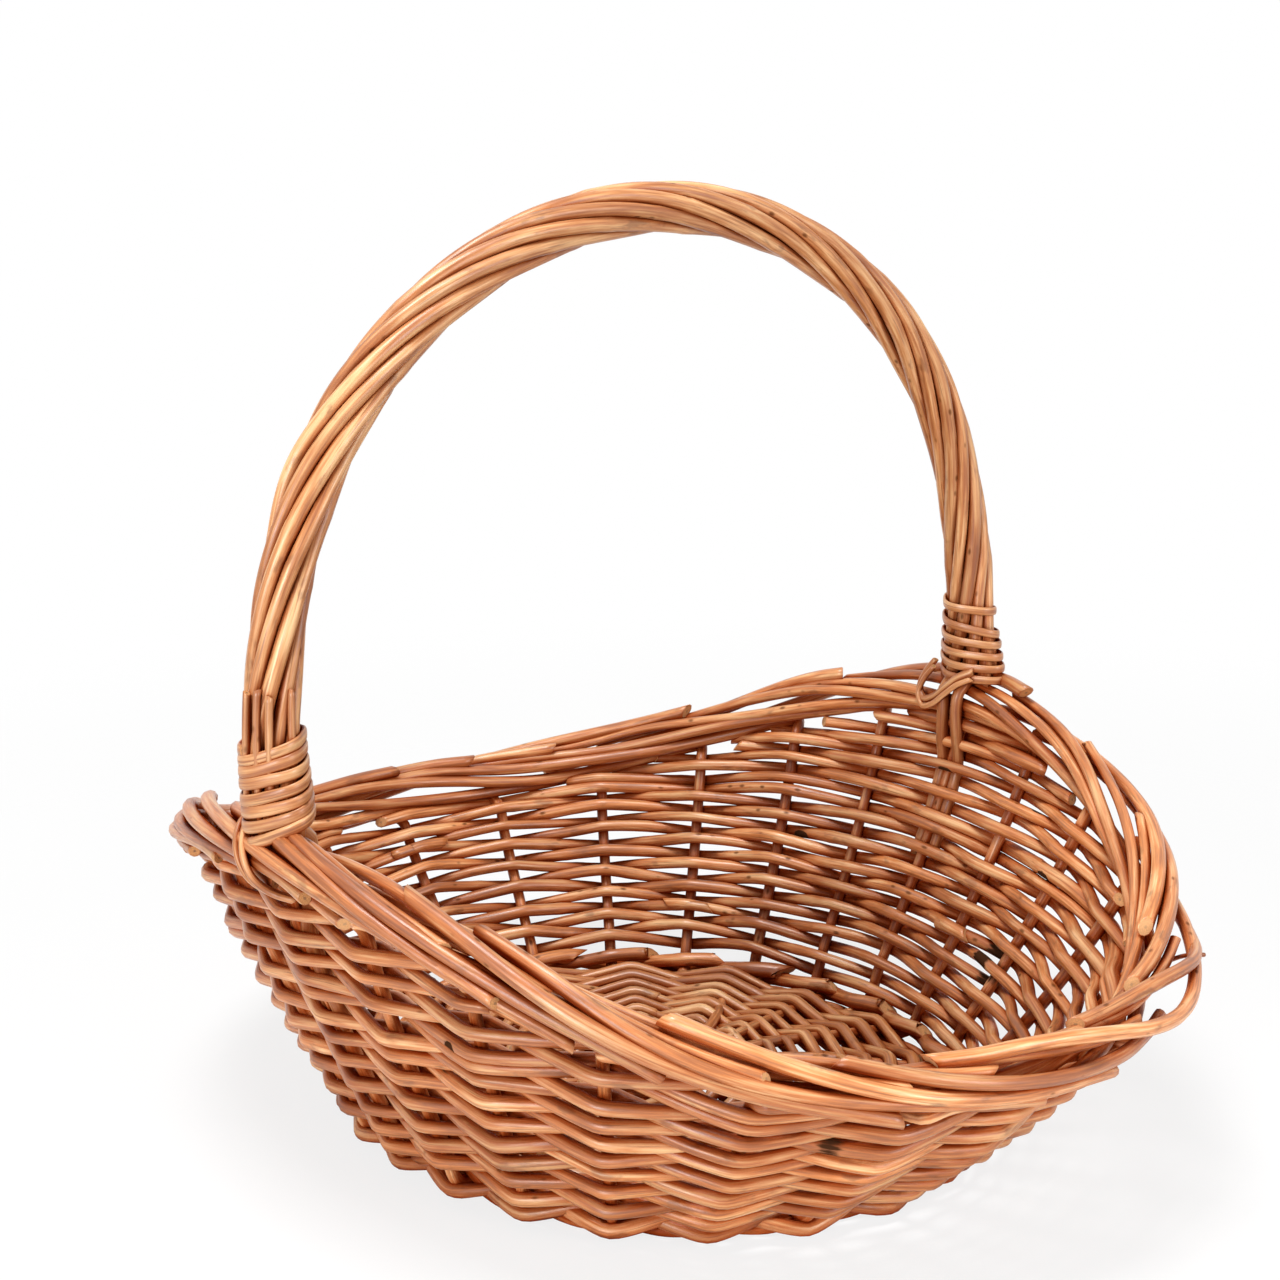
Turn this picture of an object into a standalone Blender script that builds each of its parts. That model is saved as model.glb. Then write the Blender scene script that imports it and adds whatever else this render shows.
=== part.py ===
"""Oval flower basket of peeled willow with a fixed bow handle.

Every rod is its own object. Stakes rise from the edge of the base, carry the
side weave, and are then rolled round each other along the saddle shaped rim,
so the border is made of the stakes' own ends. A bundle of rods bows over the
basket, and its two legs run down inside the wall.

Frame: origin at the bottom centre, +Z up, +X along the basket, and the handle
stands in the YZ plane. Lengths are metres.
"""
import math

import bpy
import bmesh
from mathutils import Vector

# Outline of the basket, along the middle of the border, wall and base edge
RIM_LENGTH = 0.236
RIM_WIDTH = 0.200
RIM_LOW = 0.047
RIM_HIGH = 0.081
BASE_LENGTH = 0.156
BASE_WIDTH = 0.134
BASE_OFF_X = -0.0017
BASE_OFF_Y = -0.0022
HANDLE_RISE = 0.1255

# Rods
STAKE_DIAMETER = 0.0029
WEAVER_DIAMETER = 0.0026
STICK_DIAMETER = 0.0022
BASE_WEAVER_DIAMETER = 0.0020
FOOT_DIAMETER = 0.0036
HANDLE_ROD_DIAMETER = 0.0036
BINDING_DIAMETER = 0.0020
LEG_LENGTH = 0.040
LEG_STEP = 0.0027
BUTT_LENGTH = 0.0045
SLATH_SPACING = 0.005
SLATH_ARM = 0.014

# Clearances
SEAT = 0.0003
ROW_GAP = 0.00048
BEND_ROOM = 0.0006
FOOT_FLAT = 0.0005
BINDING_GAP = 0.0008

# Counts
STAKES = 24
STICK_ENDS = 16
RODS_PER_STRAND = 4
BORDER_STRANDS = 5
HANDLE_RING = 6
HANDLE_POINTS = 29
FOOT_POINTS = 48
BINDING_LOOPS = 6
LOOP_POINTS = 24

# Shapes without a length
SADDLE_POWER = 3.0
HANDLE_SIDE_POWER = 1.03
HANDLE_TOP_POWER = 0.74
HANDLE_TURNS = -2.5
BULGE_SHARE = 0.30
CROWD_SHARE = 0.07
FOOT_SHARE = 0.968
STICK_END_SHARE = 0.985
BASE_WEAVE_SHARES = (0.31, 0.905)
BORDER_WIDTH_SHARE = 1.30
ROD_CUT_SHARES = (0.25, 0.45)
BORDER_RUN_SHARES = (0.24, 4.62)
TIP_SHARE = 0.82
TAIL_DEGREES = (-40, -12, 16)

# Sizes that follow from those above
STAKE_R = STAKE_DIAMETER / 2
WEAVER_R = WEAVER_DIAMETER / 2
STICK_R = STICK_DIAMETER / 2
BASE_WEAVER_R = BASE_WEAVER_DIAMETER / 2
FOOT_R = FOOT_DIAMETER / 2
HANDLE_R = HANDLE_ROD_DIAMETER / 2
BINDING_R = BINDING_DIAMETER / 2
FOOT_Z = FOOT_R - FOOT_FLAT
FOOT_TOP = FOOT_Z + FOOT_R * math.cos(math.pi / 6)
BASE_Z = FOOT_TOP + SEAT + STAKE_R
BASE_MIDDLE = Vector((BASE_OFF_X, BASE_OFF_Y, 0))
STICK_Z = FOOT_TOP + SEAT + STICK_R
ROW_PITCH = WEAVER_DIAMETER + ROW_GAP
WEAVE_OFFSET = STAKE_R + WEAVER_R + BEND_ROOM
BASE_WEAVE_OFFSET = STICK_R + BASE_WEAVER_R + SEAT * 2
FIRST_ROW = WEAVE_OFFSET + SEAT * 3
STRAND_ANGLE = 2 * math.pi / BORDER_STRANDS
BORDER_RISE = (STAKE_R + SEAT / 2) / math.sin(STRAND_ANGLE / 2)
BORDER_REACH = BORDER_RISE * BORDER_WIDTH_SHARE
BORDER_CLEAR = BORDER_RISE + STAKE_R + SEAT * 2 + WEAVER_R * 1.5
HANDLE_RING_R = HANDLE_ROD_DIAMETER + SEAT
LEG_INSET = BORDER_REACH + STAKE_R + SEAT + HANDLE_R
HANDLE_INSET = LEG_INSET - HANDLE_RING_R * math.cos(math.pi / HANDLE_RING) - LEG_STEP
HANDLE_FOOT_Z = RIM_HIGH + BORDER_RISE + STAKE_R + SEAT * 2

WILLOW = (0.56, 0.27, 0.105)
WILLOW_PALE = (0.66, 0.37, 0.17)
WILLOW_GREEN = (0.50, 0.33, 0.15)


def clear_scene():
    for thing in list(bpy.data.objects):
        bpy.data.objects.remove(thing, do_unlink=True)


def collection(name):
    group = bpy.data.collections.new(name)
    bpy.context.scene.collection.children.link(group)
    return group


def willow(name, colour, tone):
    """Own material of one rod; tone lightens or darkens the colour a little."""
    skin = bpy.data.materials.new(name + "_willow")
    skin.use_nodes = True
    shader = skin.node_tree.nodes["Principled BSDF"]
    shaded = [channel * tone for channel in colour]
    shader.inputs["Base Color"].default_value = (*shaded, 1)
    shader.inputs["Roughness"].default_value = 0.42
    shader.inputs["Metallic"].default_value = 0
    return skin


def rod(name, points, radius, colour, group, tips=(1, 1), closed=False):
    """One rod as a curve through points, thinning evenly between its two tips."""
    curve = bpy.data.curves.new(name, 'CURVE')
    curve.dimensions = '3D'
    curve.bevel_depth = radius
    curve.bevel_resolution = 1
    curve.render_resolution_u = 0
    curve.use_fill_caps = not closed
    spline = curve.splines.new('POLY')
    spline.points.add(len(points) - 1)
    last = len(points) - 1
    for index, point in enumerate(points):
        spline.points[index].co = (*point, 1)
        spline.points[index].radius = tips[0] + (tips[1] - tips[0]) * index / last
    spline.use_cyclic_u = closed
    spline.use_smooth = True
    thing = bpy.data.objects.new(name, curve)
    tone = 0.92 + 0.16 * ((len(group.objects) * 0.618) % 1)
    curve.materials.append(willow(name, colour, tone))
    group.objects.link(thing)
    return thing


def spot(n):
    """Angle of stake place n, a little closer together beside the handle."""
    turn = 2 * math.pi * n / STAKES
    return turn + CROWD_SHARE * math.sin(2 * turn)


def rim_height(t):
    return RIM_LOW + (RIM_HIGH - RIM_LOW) * abs(math.sin(t)) ** SADDLE_POWER


def rim(t):
    x = RIM_LENGTH / 2 * math.cos(t)
    y = RIM_WIDTH / 2 * math.sin(t)
    return Vector((x, y, rim_height(t)))


def base_point(t, share, z):
    """Place on the base, whose middle lies a little off the border's, as the hand-woven one does."""
    x = BASE_LENGTH / 2 * share * math.cos(t)
    y = BASE_WIDTH / 2 * share * math.sin(t)
    return BASE_MIDDLE + Vector((x, y, z))


def wall(t, u):
    """Middle of the wall: u runs from the base edge, 0, to the rim, 1."""
    low = base_point(t, 1, BASE_Z)
    high = rim(t)
    flare = u + BULGE_SHARE * u * (1 - u)
    x = low.x + (high.x - low.x) * flare
    y = low.y + (high.y - low.y) * flare
    return Vector((x, y, low.z + (high.z - low.z) * u))


def slant(t):
    """Length of the wall from base edge to rim at angle t."""
    steps = 12
    marks = [wall(t, i / steps) for i in range(steps + 1)]
    return sum((b - a).length for a, b in zip(marks, marks[1:]))


def outward(t, u):
    """Unit normal of the wall, pointing away from the basket."""
    step = 0.001
    along = wall(t + step, u) - wall(t - step, u)
    up = wall(t, u + step) - wall(t, u - step)
    return along.cross(up).normalized()


def between(a, b, share):
    return a + (b - a) * share


def wall_point(n, run, side):
    """Place on stake n at a distance run up the wall, off it by side times the weave's offset."""
    t = spot(n)
    u = run / slant(t)
    return wall(t, u) + outward(t, u) * (WEAVE_OFFSET * side)


def cut_path(place, start, end):
    """Straight runs between the whole places, cut off at start and end."""
    first = math.ceil(start)
    last = math.floor(end)
    points = []
    if first > start:
        points.append(between(place(first - 1), place(first), start - first + 1))
    points.extend(place(n) for n in range(first, last + 1))
    if end > last:
        points.append(between(place(last), place(last + 1), end - last))
    return points


def full_rows():
    """Rows that go all the way round, counted where the wall is lowest."""
    room = min(slant(0), slant(math.pi)) - BORDER_CLEAR - FIRST_ROW
    return int(room / ROW_PITCH)


def side_place(strand):
    """Bend points of one of the two weavers that chase each other up the wall."""
    half = STAKES / 2

    def place(n):
        level = n / half - strand
        side = -1 if (n + strand) % 2 == 0 else 1
        return wall_point(n, FIRST_ROW + level * ROW_PITCH, side)

    return place


def side_weave(group):
    rows = full_rows()
    half = STAKES // 2
    span = 2 * round(half * rows / RODS_PER_STRAND / 2)
    for strand, letter in enumerate("ab"):
        place = side_place(strand)
        first = strand * (half + 1)
        stop = half * (rows + strand)
        for index in range(RODS_PER_STRAND):
            start = first + index * span
            end = min(start + span, stop) - ROD_CUT_SHARES[1]
            if index == RODS_PER_STRAND - 1:
                end = stop + ROD_CUT_SHARES[0]
            points = cut_path(place, start - ROD_CUT_SHARES[0], end)
            name = "side_weaver_%s%d" % (letter, index + 1)
            rod(name, points, WEAVER_R, WILLOW, group)


def packing_rows(middle):
    """Short rows beside the handle as (run, first stake, last stake)."""
    half = STAKES // 2
    rows = []
    top = full_rows() - 1
    level = 1
    while True:
        def run(n):
            return FIRST_ROW + (top + (n % half) / half + level) * ROW_PITCH

        reach = half // 2 - 1
        fits = [n for n in range(middle - reach, middle + reach + 1)
                if run(n) < slant(spot(n)) - BORDER_CLEAR - SEAT * 2]
        if len(fits) < 3:
            return rows
        rows.append((level, fits[0], fits[-1]))
        level += 1


def packing(group, name, middle):
    """One rod woven to and fro beside the handle, turning back round a stake each row."""
    half = STAKES // 2
    top = full_rows() - 1
    rows = packing_rows(middle)
    parity = 1 if middle < half else 0
    points = []

    def place(level, n, side):
        return wall_point(n, FIRST_ROW + (top + (n % half) / half + level) * ROW_PITCH, side)

    def side_at(level, n):
        return 1 if (n + level + parity) % 2 else -1

    def ends(index):
        level, low, high = rows[index]
        if index + 1 < len(rows):
            low_next, high_next = rows[index + 1][1:]
        else:
            low_next, high_next = low, high
        return level, low, high, low_next, high_next

    start = rows[0][1]
    for index in range(len(rows)):
        level, low, high, low_next, high_next = ends(index)
        forward = index % 2 == 0
        stop = high_next if forward else low_next
        step = 1 if forward else -1
        stakes = list(range(start, stop + step, step))
        points.extend(place(level, n, side_at(level, n)) for n in stakes)
        if index + 1 == len(rows):
            tail = place(level, stop + step, -side_at(level, stop))
            points.append(between(points[-1], tail, ROD_CUT_SHARES[1]))
            break
        points.extend(turn_back(place, side_at, level, stop, step))
        start = stop
    head = place(rows[0][0], rows[0][1] - 1, -side_at(rows[0][0], rows[0][1]))
    points.insert(0, between(points[0], head, ROD_CUT_SHARES[0]))
    rod(name, points, WEAVER_R, WILLOW, group)


def turn_back(place, side_at, level, n, step):
    """Bend points round stake n between two rows, in eighths of a turn."""
    near = side_at(level, n)
    lower = place(level, n, 0)
    upper = place(level + 1, n, 0)
    out = (place(level, n, 1) - lower).normalized()
    along = (place(level, n + step, 0) - lower).normalized()
    reach = WEAVE_OFFSET / math.cos(math.pi / 8)
    points = []
    for share in (0.25, 0.5, 0.75):
        angle = math.pi * share
        middle = between(lower, upper, share)
        points.append(middle + out * (near * reach * math.cos(angle)) + along * (reach * math.sin(angle)))
    return points


def border_point(n, angle):
    """Place in the rolled border: angle 0 is its outer side and a quarter turn its top."""
    step = 0.01
    here = rim(spot(n))
    along = (rim(spot(n + step)) - rim(spot(n - step))).normalized()
    out = along.cross(Vector((0, 0, 1))).normalized()
    up = out.cross(along)
    return here + out * (BORDER_REACH * math.cos(angle)) + up * (BORDER_RISE * math.sin(angle))


def stake_path(n):
    """Butt under the base edge, up the wall, then inward, over and down in the border."""
    t = spot(n)
    reach = base_point(t, 1, BASE_Z)
    inward = (base_point(t, 0, BASE_Z) - reach).normalized()
    points = [reach + inward * BUTT_LENGTH, reach]
    top = 1 - (BORDER_RISE + STAKE_DIAMETER * 1.6) / slant(t)
    points.extend(wall(t, top * share) for share in (0.34, 0.68, 1))
    points.append(border_point(n + 0.07, -math.pi / 2) - Vector((0, 0, STAKE_R * 0.6)))
    first, last = BORDER_RUN_SHARES
    steps = 7
    for index in range(steps + 1):
        along = first + (last - first) * index / steps
        points.append(border_point(n + along, -math.pi / 2 - STRAND_ANGLE * along))
    return points


def stakes(group):
    for n in range(STAKES):
        rod("stake_%02d" % (n + 1), stake_path(n), STAKE_R, WILLOW, group, (1, TIP_SHARE))


def stick_ends():
    """Stake places of the base sticks' ends, evenly round the edge."""
    gap = STAKES / STICK_ENDS
    return [gap / 2 + gap * m for m in range(STICK_ENDS)]


def stick_table():
    """Each stick as its first end, second end, across X or Y, and place in the cross."""
    quarter = STICK_ENDS // 4
    table = []
    for k in range(quarter):
        first = (k + STICK_ENDS - quarter // 2) % STICK_ENDS
        second = STICK_ENDS // 2 - 1 - first if first < STICK_ENDS // 2 else STICK_ENDS * 3 // 2 - 1 - first
        table.append((first, second % STICK_ENDS, "x", k - (quarter - 1) / 2))
    for k in range(quarter):
        first = quarter // 2 + k
        second = STICK_ENDS - 1 - first
        table.append((first, second, "y", (quarter - 1) / 2 - k))
    return table


def stick_path(first, second, way, place):
    ends = stick_ends()
    start = base_point(spot(ends[first]), STICK_END_SHARE, STICK_Z)
    end = base_point(spot(ends[second]), STICK_END_SHARE, STICK_Z)
    aside = place * SLATH_SPACING
    lift = STICK_R + SEAT / 2
    half_cross = SLATH_ARM - SLATH_SPACING
    if way == "x":
        fan = Vector((SLATH_ARM, aside, STICK_Z))
        over = Vector((half_cross, aside, STICK_Z + lift))
        flip = Vector((-1, 1, 1))
    else:
        fan = Vector((aside, SLATH_ARM, STICK_Z))
        over = Vector((aside, half_cross, STICK_Z - lift))
        flip = Vector((1, -1, 1))
    cross = [BASE_MIDDLE + mark for mark in (fan, over, over * flip, fan * flip)]
    return [start, *cross, end]


def stick_rays():
    """Straight outer stretch of every stick end, as (fan point, end point) in order."""
    rays = {}
    for first, second, way, place in stick_table():
        path = stick_path(first, second, way, place)
        rays[first] = (path[1], path[0])
        rays[second] = (path[4], path[5])
    return [rays[m] for m in range(STICK_ENDS)]


def share_of(point):
    place = point - BASE_MIDDLE
    return math.hypot(place.x * 2 / BASE_LENGTH, place.y * 2 / BASE_WIDTH)


def ray_at(ray, share):
    """Point of a stick's outer stretch that lies at a share of the base's outline."""
    low, high = 0, 1
    for _ in range(40):
        middle = (low + high) / 2
        if share_of(between(ray[0], ray[1], middle)) < share:
            low = middle
        else:
            high = middle
    return between(ray[0], ray[1], low)


def base_weave(group):
    first, last = BASE_WEAVE_SHARES
    room = (last - first) * BASE_WIDTH / 2
    rows = int(room / (BASE_WEAVER_DIAMETER + ROW_GAP + SEAT))
    half = STICK_ENDS // 2
    rays = stick_rays()
    for strand, letter in enumerate("ab"):
        def place(n):
            level = n / half - strand
            side = -1 if (n + strand) % 2 == 0 else 1
            point = ray_at(rays[n % STICK_ENDS], first + (last - first) * level / rows)
            return point + Vector((0, 0, side * BASE_WEAVE_OFFSET))

        points = cut_path(place, strand * half, half * (rows + strand))
        rod("base_weaver_" + letter, points, BASE_WEAVER_R, WILLOW_GREEN, group)


def base_sticks(group):
    for index, (first, second, way, place) in enumerate(stick_table()):
        points = stick_path(first, second, way, place)
        rod("base_stick_%d" % (index + 1), points, STICK_R, WILLOW_PALE, group)


def solid_from_curve(thing, group):
    """Turn a curve object into a mesh object of the same name."""
    bpy.context.view_layer.update()
    shape = thing.evaluated_get(bpy.context.evaluated_depsgraph_get())
    mesh = bpy.data.meshes.new_from_object(shape)
    name = thing.name
    place = thing.matrix_world.copy()
    bpy.data.objects.remove(thing, do_unlink=True)
    work = bmesh.new()
    work.from_mesh(mesh)
    bmesh.ops.remove_doubles(work, verts=work.verts, dist=SEAT / 100)
    bmesh.ops.recalc_face_normals(work, faces=work.faces)
    work.to_mesh(mesh)
    work.free()
    solid = bpy.data.objects.new(name, mesh)
    solid.matrix_world = place
    group.objects.link(solid)
    return solid


def foot(group, cutters):
    """Thick rod under the base edge, cut flat where the basket stands."""
    points = []
    for index in range(FOOT_POINTS):
        t = 2 * math.pi * index / FOOT_POINTS
        points.append(base_point(t, FOOT_SHARE, FOOT_Z))
    ring = rod("foot_rod", points, FOOT_R, WILLOW, group, closed=True)
    solid = solid_from_curve(ring, group)
    bpy.ops.mesh.primitive_cube_add(size=1)
    floor = bpy.context.object
    floor.name = "floor_cutter"
    floor.scale = (RIM_LENGTH, RIM_WIDTH, FOOT_DIAMETER)
    floor.location = (0, 0, -FOOT_DIAMETER / 2)
    for user in list(floor.users_collection):
        user.objects.unlink(floor)
    cutters.objects.link(floor)
    floor.hide_render = True
    floor.display_type = 'WIRE'
    cut = solid.modifiers.new("flat underside", 'BOOLEAN')
    cut.operation = 'DIFFERENCE'
    cut.solver = 'EXACT'
    cut.object = floor


def arch(share):
    """Middle of the handle, from the root at -Y, 0, to the root at +Y, 1."""
    angle = math.pi * share
    c = math.cos(angle)
    s = math.sin(angle)
    half = RIM_WIDTH / 2 - HANDLE_INSET
    y = -half * math.copysign(abs(c) ** HANDLE_SIDE_POWER, c)
    z = HANDLE_FOOT_Z + (RIM_HIGH + HANDLE_RISE - HANDLE_FOOT_Z) * abs(s) ** HANDLE_TOP_POWER
    return Vector((0, y, z))


def arch_marks():
    """Points along the arch at even distances, with the unit normal to its inner side."""
    fine = 400
    line = [arch(i / fine) for i in range(fine + 1)]
    runs = [0]
    for a, b in zip(line, line[1:]):
        runs.append(runs[-1] + (b - a).length)
    marks = []
    index = 0
    for step in range(HANDLE_POINTS):
        want = runs[-1] * step / (HANDLE_POINTS - 1)
        while index < fine - 1 and runs[index + 1] < want:
            index += 1
        part = (want - runs[index]) / (runs[index + 1] - runs[index])
        marks.append(between(line[index], line[index + 1], part))
    out = []
    for step, mark in enumerate(marks):
        before = marks[max(step - 1, 0)]
        after = marks[min(step + 1, HANDLE_POINTS - 1)]
        along = (after - before).normalized()
        if step in (0, HANDLE_POINTS - 1):
            along = Vector((0, 0, 1 if step == 0 else -1))
        out.append((mark, Vector((1, 0, 0)).cross(along)))
    return out


def inner_side(mark, normal):
    """The arch's normal turned to point at the middle of the basket."""
    return -normal if normal.dot(Vector((0, 0, RIM_HIGH)) - mark) < 0 else normal


def leg_path(aside, side):
    """Leg inside the wall, from the border down; side is -1 at -Y and 1 at +Y."""
    t = side * math.pi / 2
    length = slant(t)
    inset = WEAVE_OFFSET + WEAVER_R + SEAT + HANDLE_R
    start = RIM_WIDTH / 2 - LEG_INSET
    points = [Vector((aside, side * start, RIM_HIGH))]
    for share in (0.3, 0.65, 1):
        run = length - BORDER_RISE - LEG_LENGTH * share
        u = run / length
        point = wall(t, u) - outward(t, u) * inset
        points.append(Vector((aside, point.y, point.z)))
    return points


def handle(group):
    marks = arch_marks()
    core = [mark for mark, normal in marks]
    rod("handle_core", core, HANDLE_R, WILLOW, group)
    for k in range(HANDLE_RING):
        start = math.pi / HANDLE_RING + 2 * math.pi * k / HANDLE_RING
        points = []
        for step, (mark, normal) in enumerate(marks):
            inner = inner_side(mark, normal)
            angle = start + 2 * math.pi * HANDLE_TURNS * step / (HANDLE_POINTS - 1)
            aside = HANDLE_RING_R * math.sin(angle)
            points.append(mark + Vector((1, 0, 0)) * aside + inner * (HANDLE_RING_R * math.cos(angle)))
        stop = start + 2 * math.pi * HANDLE_TURNS
        if math.cos(start) > 0.5:
            points = leg_path(HANDLE_RING_R * math.sin(start), -1)[::-1] + points
        if math.cos(stop) > 0.5:
            points = points + leg_path(HANDLE_RING_R * math.sin(stop), 1)
        rod("handle_rod_%d" % (k + 1), points, HANDLE_R, WILLOW, group)


def binding(group, name, side):
    """Winding of split willow round the foot of the handle, tied down over the border."""
    reach = HANDLE_RING_R + HANDLE_R + SEAT + BINDING_R
    pitch = BINDING_DIAMETER + BINDING_GAP
    count = BINDING_LOOPS * LOOP_POINTS
    low = HANDLE_FOOT_Z + BINDING_R + SEAT
    fine = 200
    line = [arch(i / fine / 2) for i in range(fine + 1)]
    over = BORDER_REACH + STAKE_R + SEAT + BINDING_R
    high = BORDER_RISE + STAKE_R + SEAT + BINDING_R
    points = []
    for angle in (math.radians(degrees) for degrees in TAIL_DEGREES):
        y = RIM_WIDTH / 2 + over * math.cos(angle)
        points.append(Vector((0, side * y, RIM_HIGH + high * math.sin(angle))))
    for index in range(count + 1):
        turn = 2 * math.pi * index / LOOP_POINTS
        z = low + pitch * index / LOOP_POINTS
        mark = min(line, key=lambda point: abs(point.z - z))
        y = mark.y - reach * math.cos(turn)
        points.append(Vector((reach * math.sin(turn), -side * y, z)))
    rod(name, points, BINDING_R, WILLOW_PALE, group)
    return points


def least_gap(points, diameter):
    """Smallest gap of a winding to itself, over pairs of points half a loop apart or more."""
    least = math.inf
    for i, a in enumerate(points):
        for b in points[i + LOOP_POINTS // 2:]:
            least = min(least, (a - b).length - diameter)
    return least


def build():
    clear_scene()
    basket = collection("flower_basket")
    cutters = collection("cutters")
    foot(basket, cutters)
    base_sticks(basket)
    base_weave(basket)
    stakes(basket)
    side_weave(basket)
    packing(basket, "packing_rod_right", STAKES // 4)
    packing(basket, "packing_rod_left", STAKES * 3 // 4)
    handle(basket)
    for name, side in (("handle_binding_left", -1), ("handle_binding_right", 1)):
        points = binding(basket, name, side)
        print(name, "least gap to itself, mm: %.2f" % (least_gap(points, BINDING_DIAMETER) * 1000))


build()
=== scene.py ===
"""Looks of the oval willow flower basket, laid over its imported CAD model.

Every CAD rod is stood for by a rod of the same course with the bends, tapers,
cut ends and grain of real peeled willow. Lengths are metres, +X runs along the
basket, +Z is up, and the handle stands in the YZ plane.
"""
import math

import bpy
import numpy as np
from bpy.props import FloatProperty, FloatVectorProperty, IntProperty, PointerProperty
from mathutils import Matrix, Vector


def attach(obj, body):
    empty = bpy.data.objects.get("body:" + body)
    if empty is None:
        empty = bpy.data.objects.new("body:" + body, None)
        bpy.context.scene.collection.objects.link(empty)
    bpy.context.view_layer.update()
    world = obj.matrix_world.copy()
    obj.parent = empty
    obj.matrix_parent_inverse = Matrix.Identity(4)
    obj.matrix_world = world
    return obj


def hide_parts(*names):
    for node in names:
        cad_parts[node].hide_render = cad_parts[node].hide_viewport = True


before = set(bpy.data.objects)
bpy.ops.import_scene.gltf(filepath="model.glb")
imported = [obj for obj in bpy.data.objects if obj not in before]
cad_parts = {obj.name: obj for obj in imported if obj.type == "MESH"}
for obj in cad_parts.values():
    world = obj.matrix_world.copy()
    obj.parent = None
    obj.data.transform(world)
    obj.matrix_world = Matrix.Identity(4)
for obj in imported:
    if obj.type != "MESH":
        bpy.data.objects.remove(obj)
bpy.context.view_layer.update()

bl_info = {
    "name": "Willow flower basket",
    "version": (1, 0, 0),
    "blender": (4, 5, 0),
    "location": "3D View > Sidebar > Basket",
    "description": "Weaves an oval willow flower basket with a bow handle",
    "category": "Add Mesh",
}

# Counts of rods and of the sides of their skins
STAKES = 24
HALF_ROUND = STAKES // 2
STICK_ENDS = 16
BORDER_STRANDS = 5
SIDE_RODS = 4
CORE_RODS = 4
HANDLE_RING = 8
HANDLE_SEEN = (0, 1, 3, 4, 6, 7)
ROD_SIDES = 10
THIN_SIDES = 8

# Shares, powers and turns that set the form
SADDLE_POWER = 3.0
BULGE_SHARE = 0.30
CROWD_SHARE = 0.07
HANDLE_SIDE_POWER = 1.03
HANDLE_TOP_POWER = 0.74
HANDLE_PACKING = 1.02
HANDLE_TURNS = -2.5
SPLAY_SHARE = 0.72
FOOT_SHARE = 0.957
STICK_END_SHARE = 0.985
BASE_WEAVE_SHARES = (0.215, 0.955)
PAST_BASE_WEAVE = 0.06
BORDER_WIDTH_SHARE = 1.30
BORDER_RUN = (0.24, 4.62)
BORDER_ROLL_SHARE = 0.65
BORDER_RING_SHARE = 0.92
BASE_TIGHTNESS = 0.985
WALL_TIGHTNESS = 0.993

# How the rods lie on each other, in metres
BASE_EDGE_Z = 0.00461
STICK_Z = 0.00436
FOOT_STRAND_R = 0.00122
FOOT_STRAND_ROOM = 0.00125
BASE_SQUEEZE = 0.00025
STICK_GRIP = 0.0002
WEAVE_GAP = 0.00005
FIRST_ROW = 0.00425
BORDER_CLEAR = 0.0062
HANDLE_FOOT_RISE = 0.00477
HANDLE_INSET = 0.0036
SPLAY_HEIGHT = 0.026
HAIR = 0.00001

# Steps between the places of a line
STEP = 0.0016
WALL_STEP = 0.0014
BASE_STEP = 0.0012
FINE_STEP = 0.0008

# Slow bends of the rods: how far they go aside, and the length of one
STICK_BENDS = (0.0001, 0.05)
BASE_BENDS = (0.00012, 0.03)
STAKE_BENDS = (0.00012, 0.05)
WEAVE_BENDS = (0.0005, 0.06)
HANDLE_SIDE_BENDS = (0.00035, 0.05)
HANDLE_DEPTH_BENDS = (0.00012, 0.08)

# Slow swells of a rod's thickness: share of it, and the length of one
SWELLS = (0.025, 0.03)
LAID_SWELLS = (0.03, 0.03)
WEAVE_SWELLS = (0.15, 0.2)
BINDING_SWELLS = (0.07, 0.03)

# Knuckles where buds sat: half their length, where the first can be, and the next
KNUCKLE = 0.0016
FIRST_KNUCKLE = (0.005, 0.03)
NEXT_KNUCKLE = (0.018, 0.045)

# Waves of the settled rows: size, waves round the oval, and how they change up the wall
SETTLING = ((0.0005, 3, 150), (0.0004, 7, -230), (0.0002, 13, 0))

# Stakes, counted from 0, that have no rod laid over them
BARE_STAKES = (3, 4, 6, 8)

# How far some laid rods stand off the border
LOOSE_RODS = {23: 0.0038, 0: 0.0026, 5: 0.0020, 9: 0.0016}

# Bark that was left on: stake place, share of the wall's height, reach and strength
BARK_PLACES = ((4.2, 0.31, 0.0062, 1.0), (22.6, 0.67, 0.0050, 0.60), (19.5, 0.50, 0.0042, 0.60))

# Noises of the skin: cells in a metre across and along the rod, and detail
STREAKS = (1500, 70, 4.0)
BLOTCHES = (240, 45, 2.0)
FINE_GRAIN = (3600, 260, 3.0)
DARK_LINES = (2700, 65, 2.0)
RUST = (320, 120, 3.0)
END_FLECKS = (5200, 900, 3.0)
SPECK_CELLS = (420, 420, 210)

# Depth of the grain, and how near other rods must be for painted shade to darken the crevices
SKIN_DEPTH = 0.00022
END_DEPTH = 0.0002
SHADE_REACH = 0.009

# Skins: main colour, how dark that colour is, strength of the painted shade in the crevices, and coat
SKINS = {
    "willow_base": ("olive", 1.0, 1.0, 0.40),
    "willow_side": ("amber", 0.97, 1.0, 0.40),
    "willow_border": ("amber", 1.0, 1.0, 0.40),
    "willow_handle": ("honey", 1.0, 0.8, 0.30),
    "willow_split": ("honey", 0.98, 1.0, 0.40),
}

# Soft lights: name of their power in the studio's setup, size and place
LIGHTS = (("key", 0.50, (0.56, -1.40, 0.36)),
          ("fill", 0.50, (1.2, 0.28, 0.42)),
          ("top", 0.36, (0.05, -0.25, 1.15)))
LIT_PLACE = (0, 0, 0.07)
FLOOR_HALF = 3.0
FLOOR_FADE = (0.18, 0.55)


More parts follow.
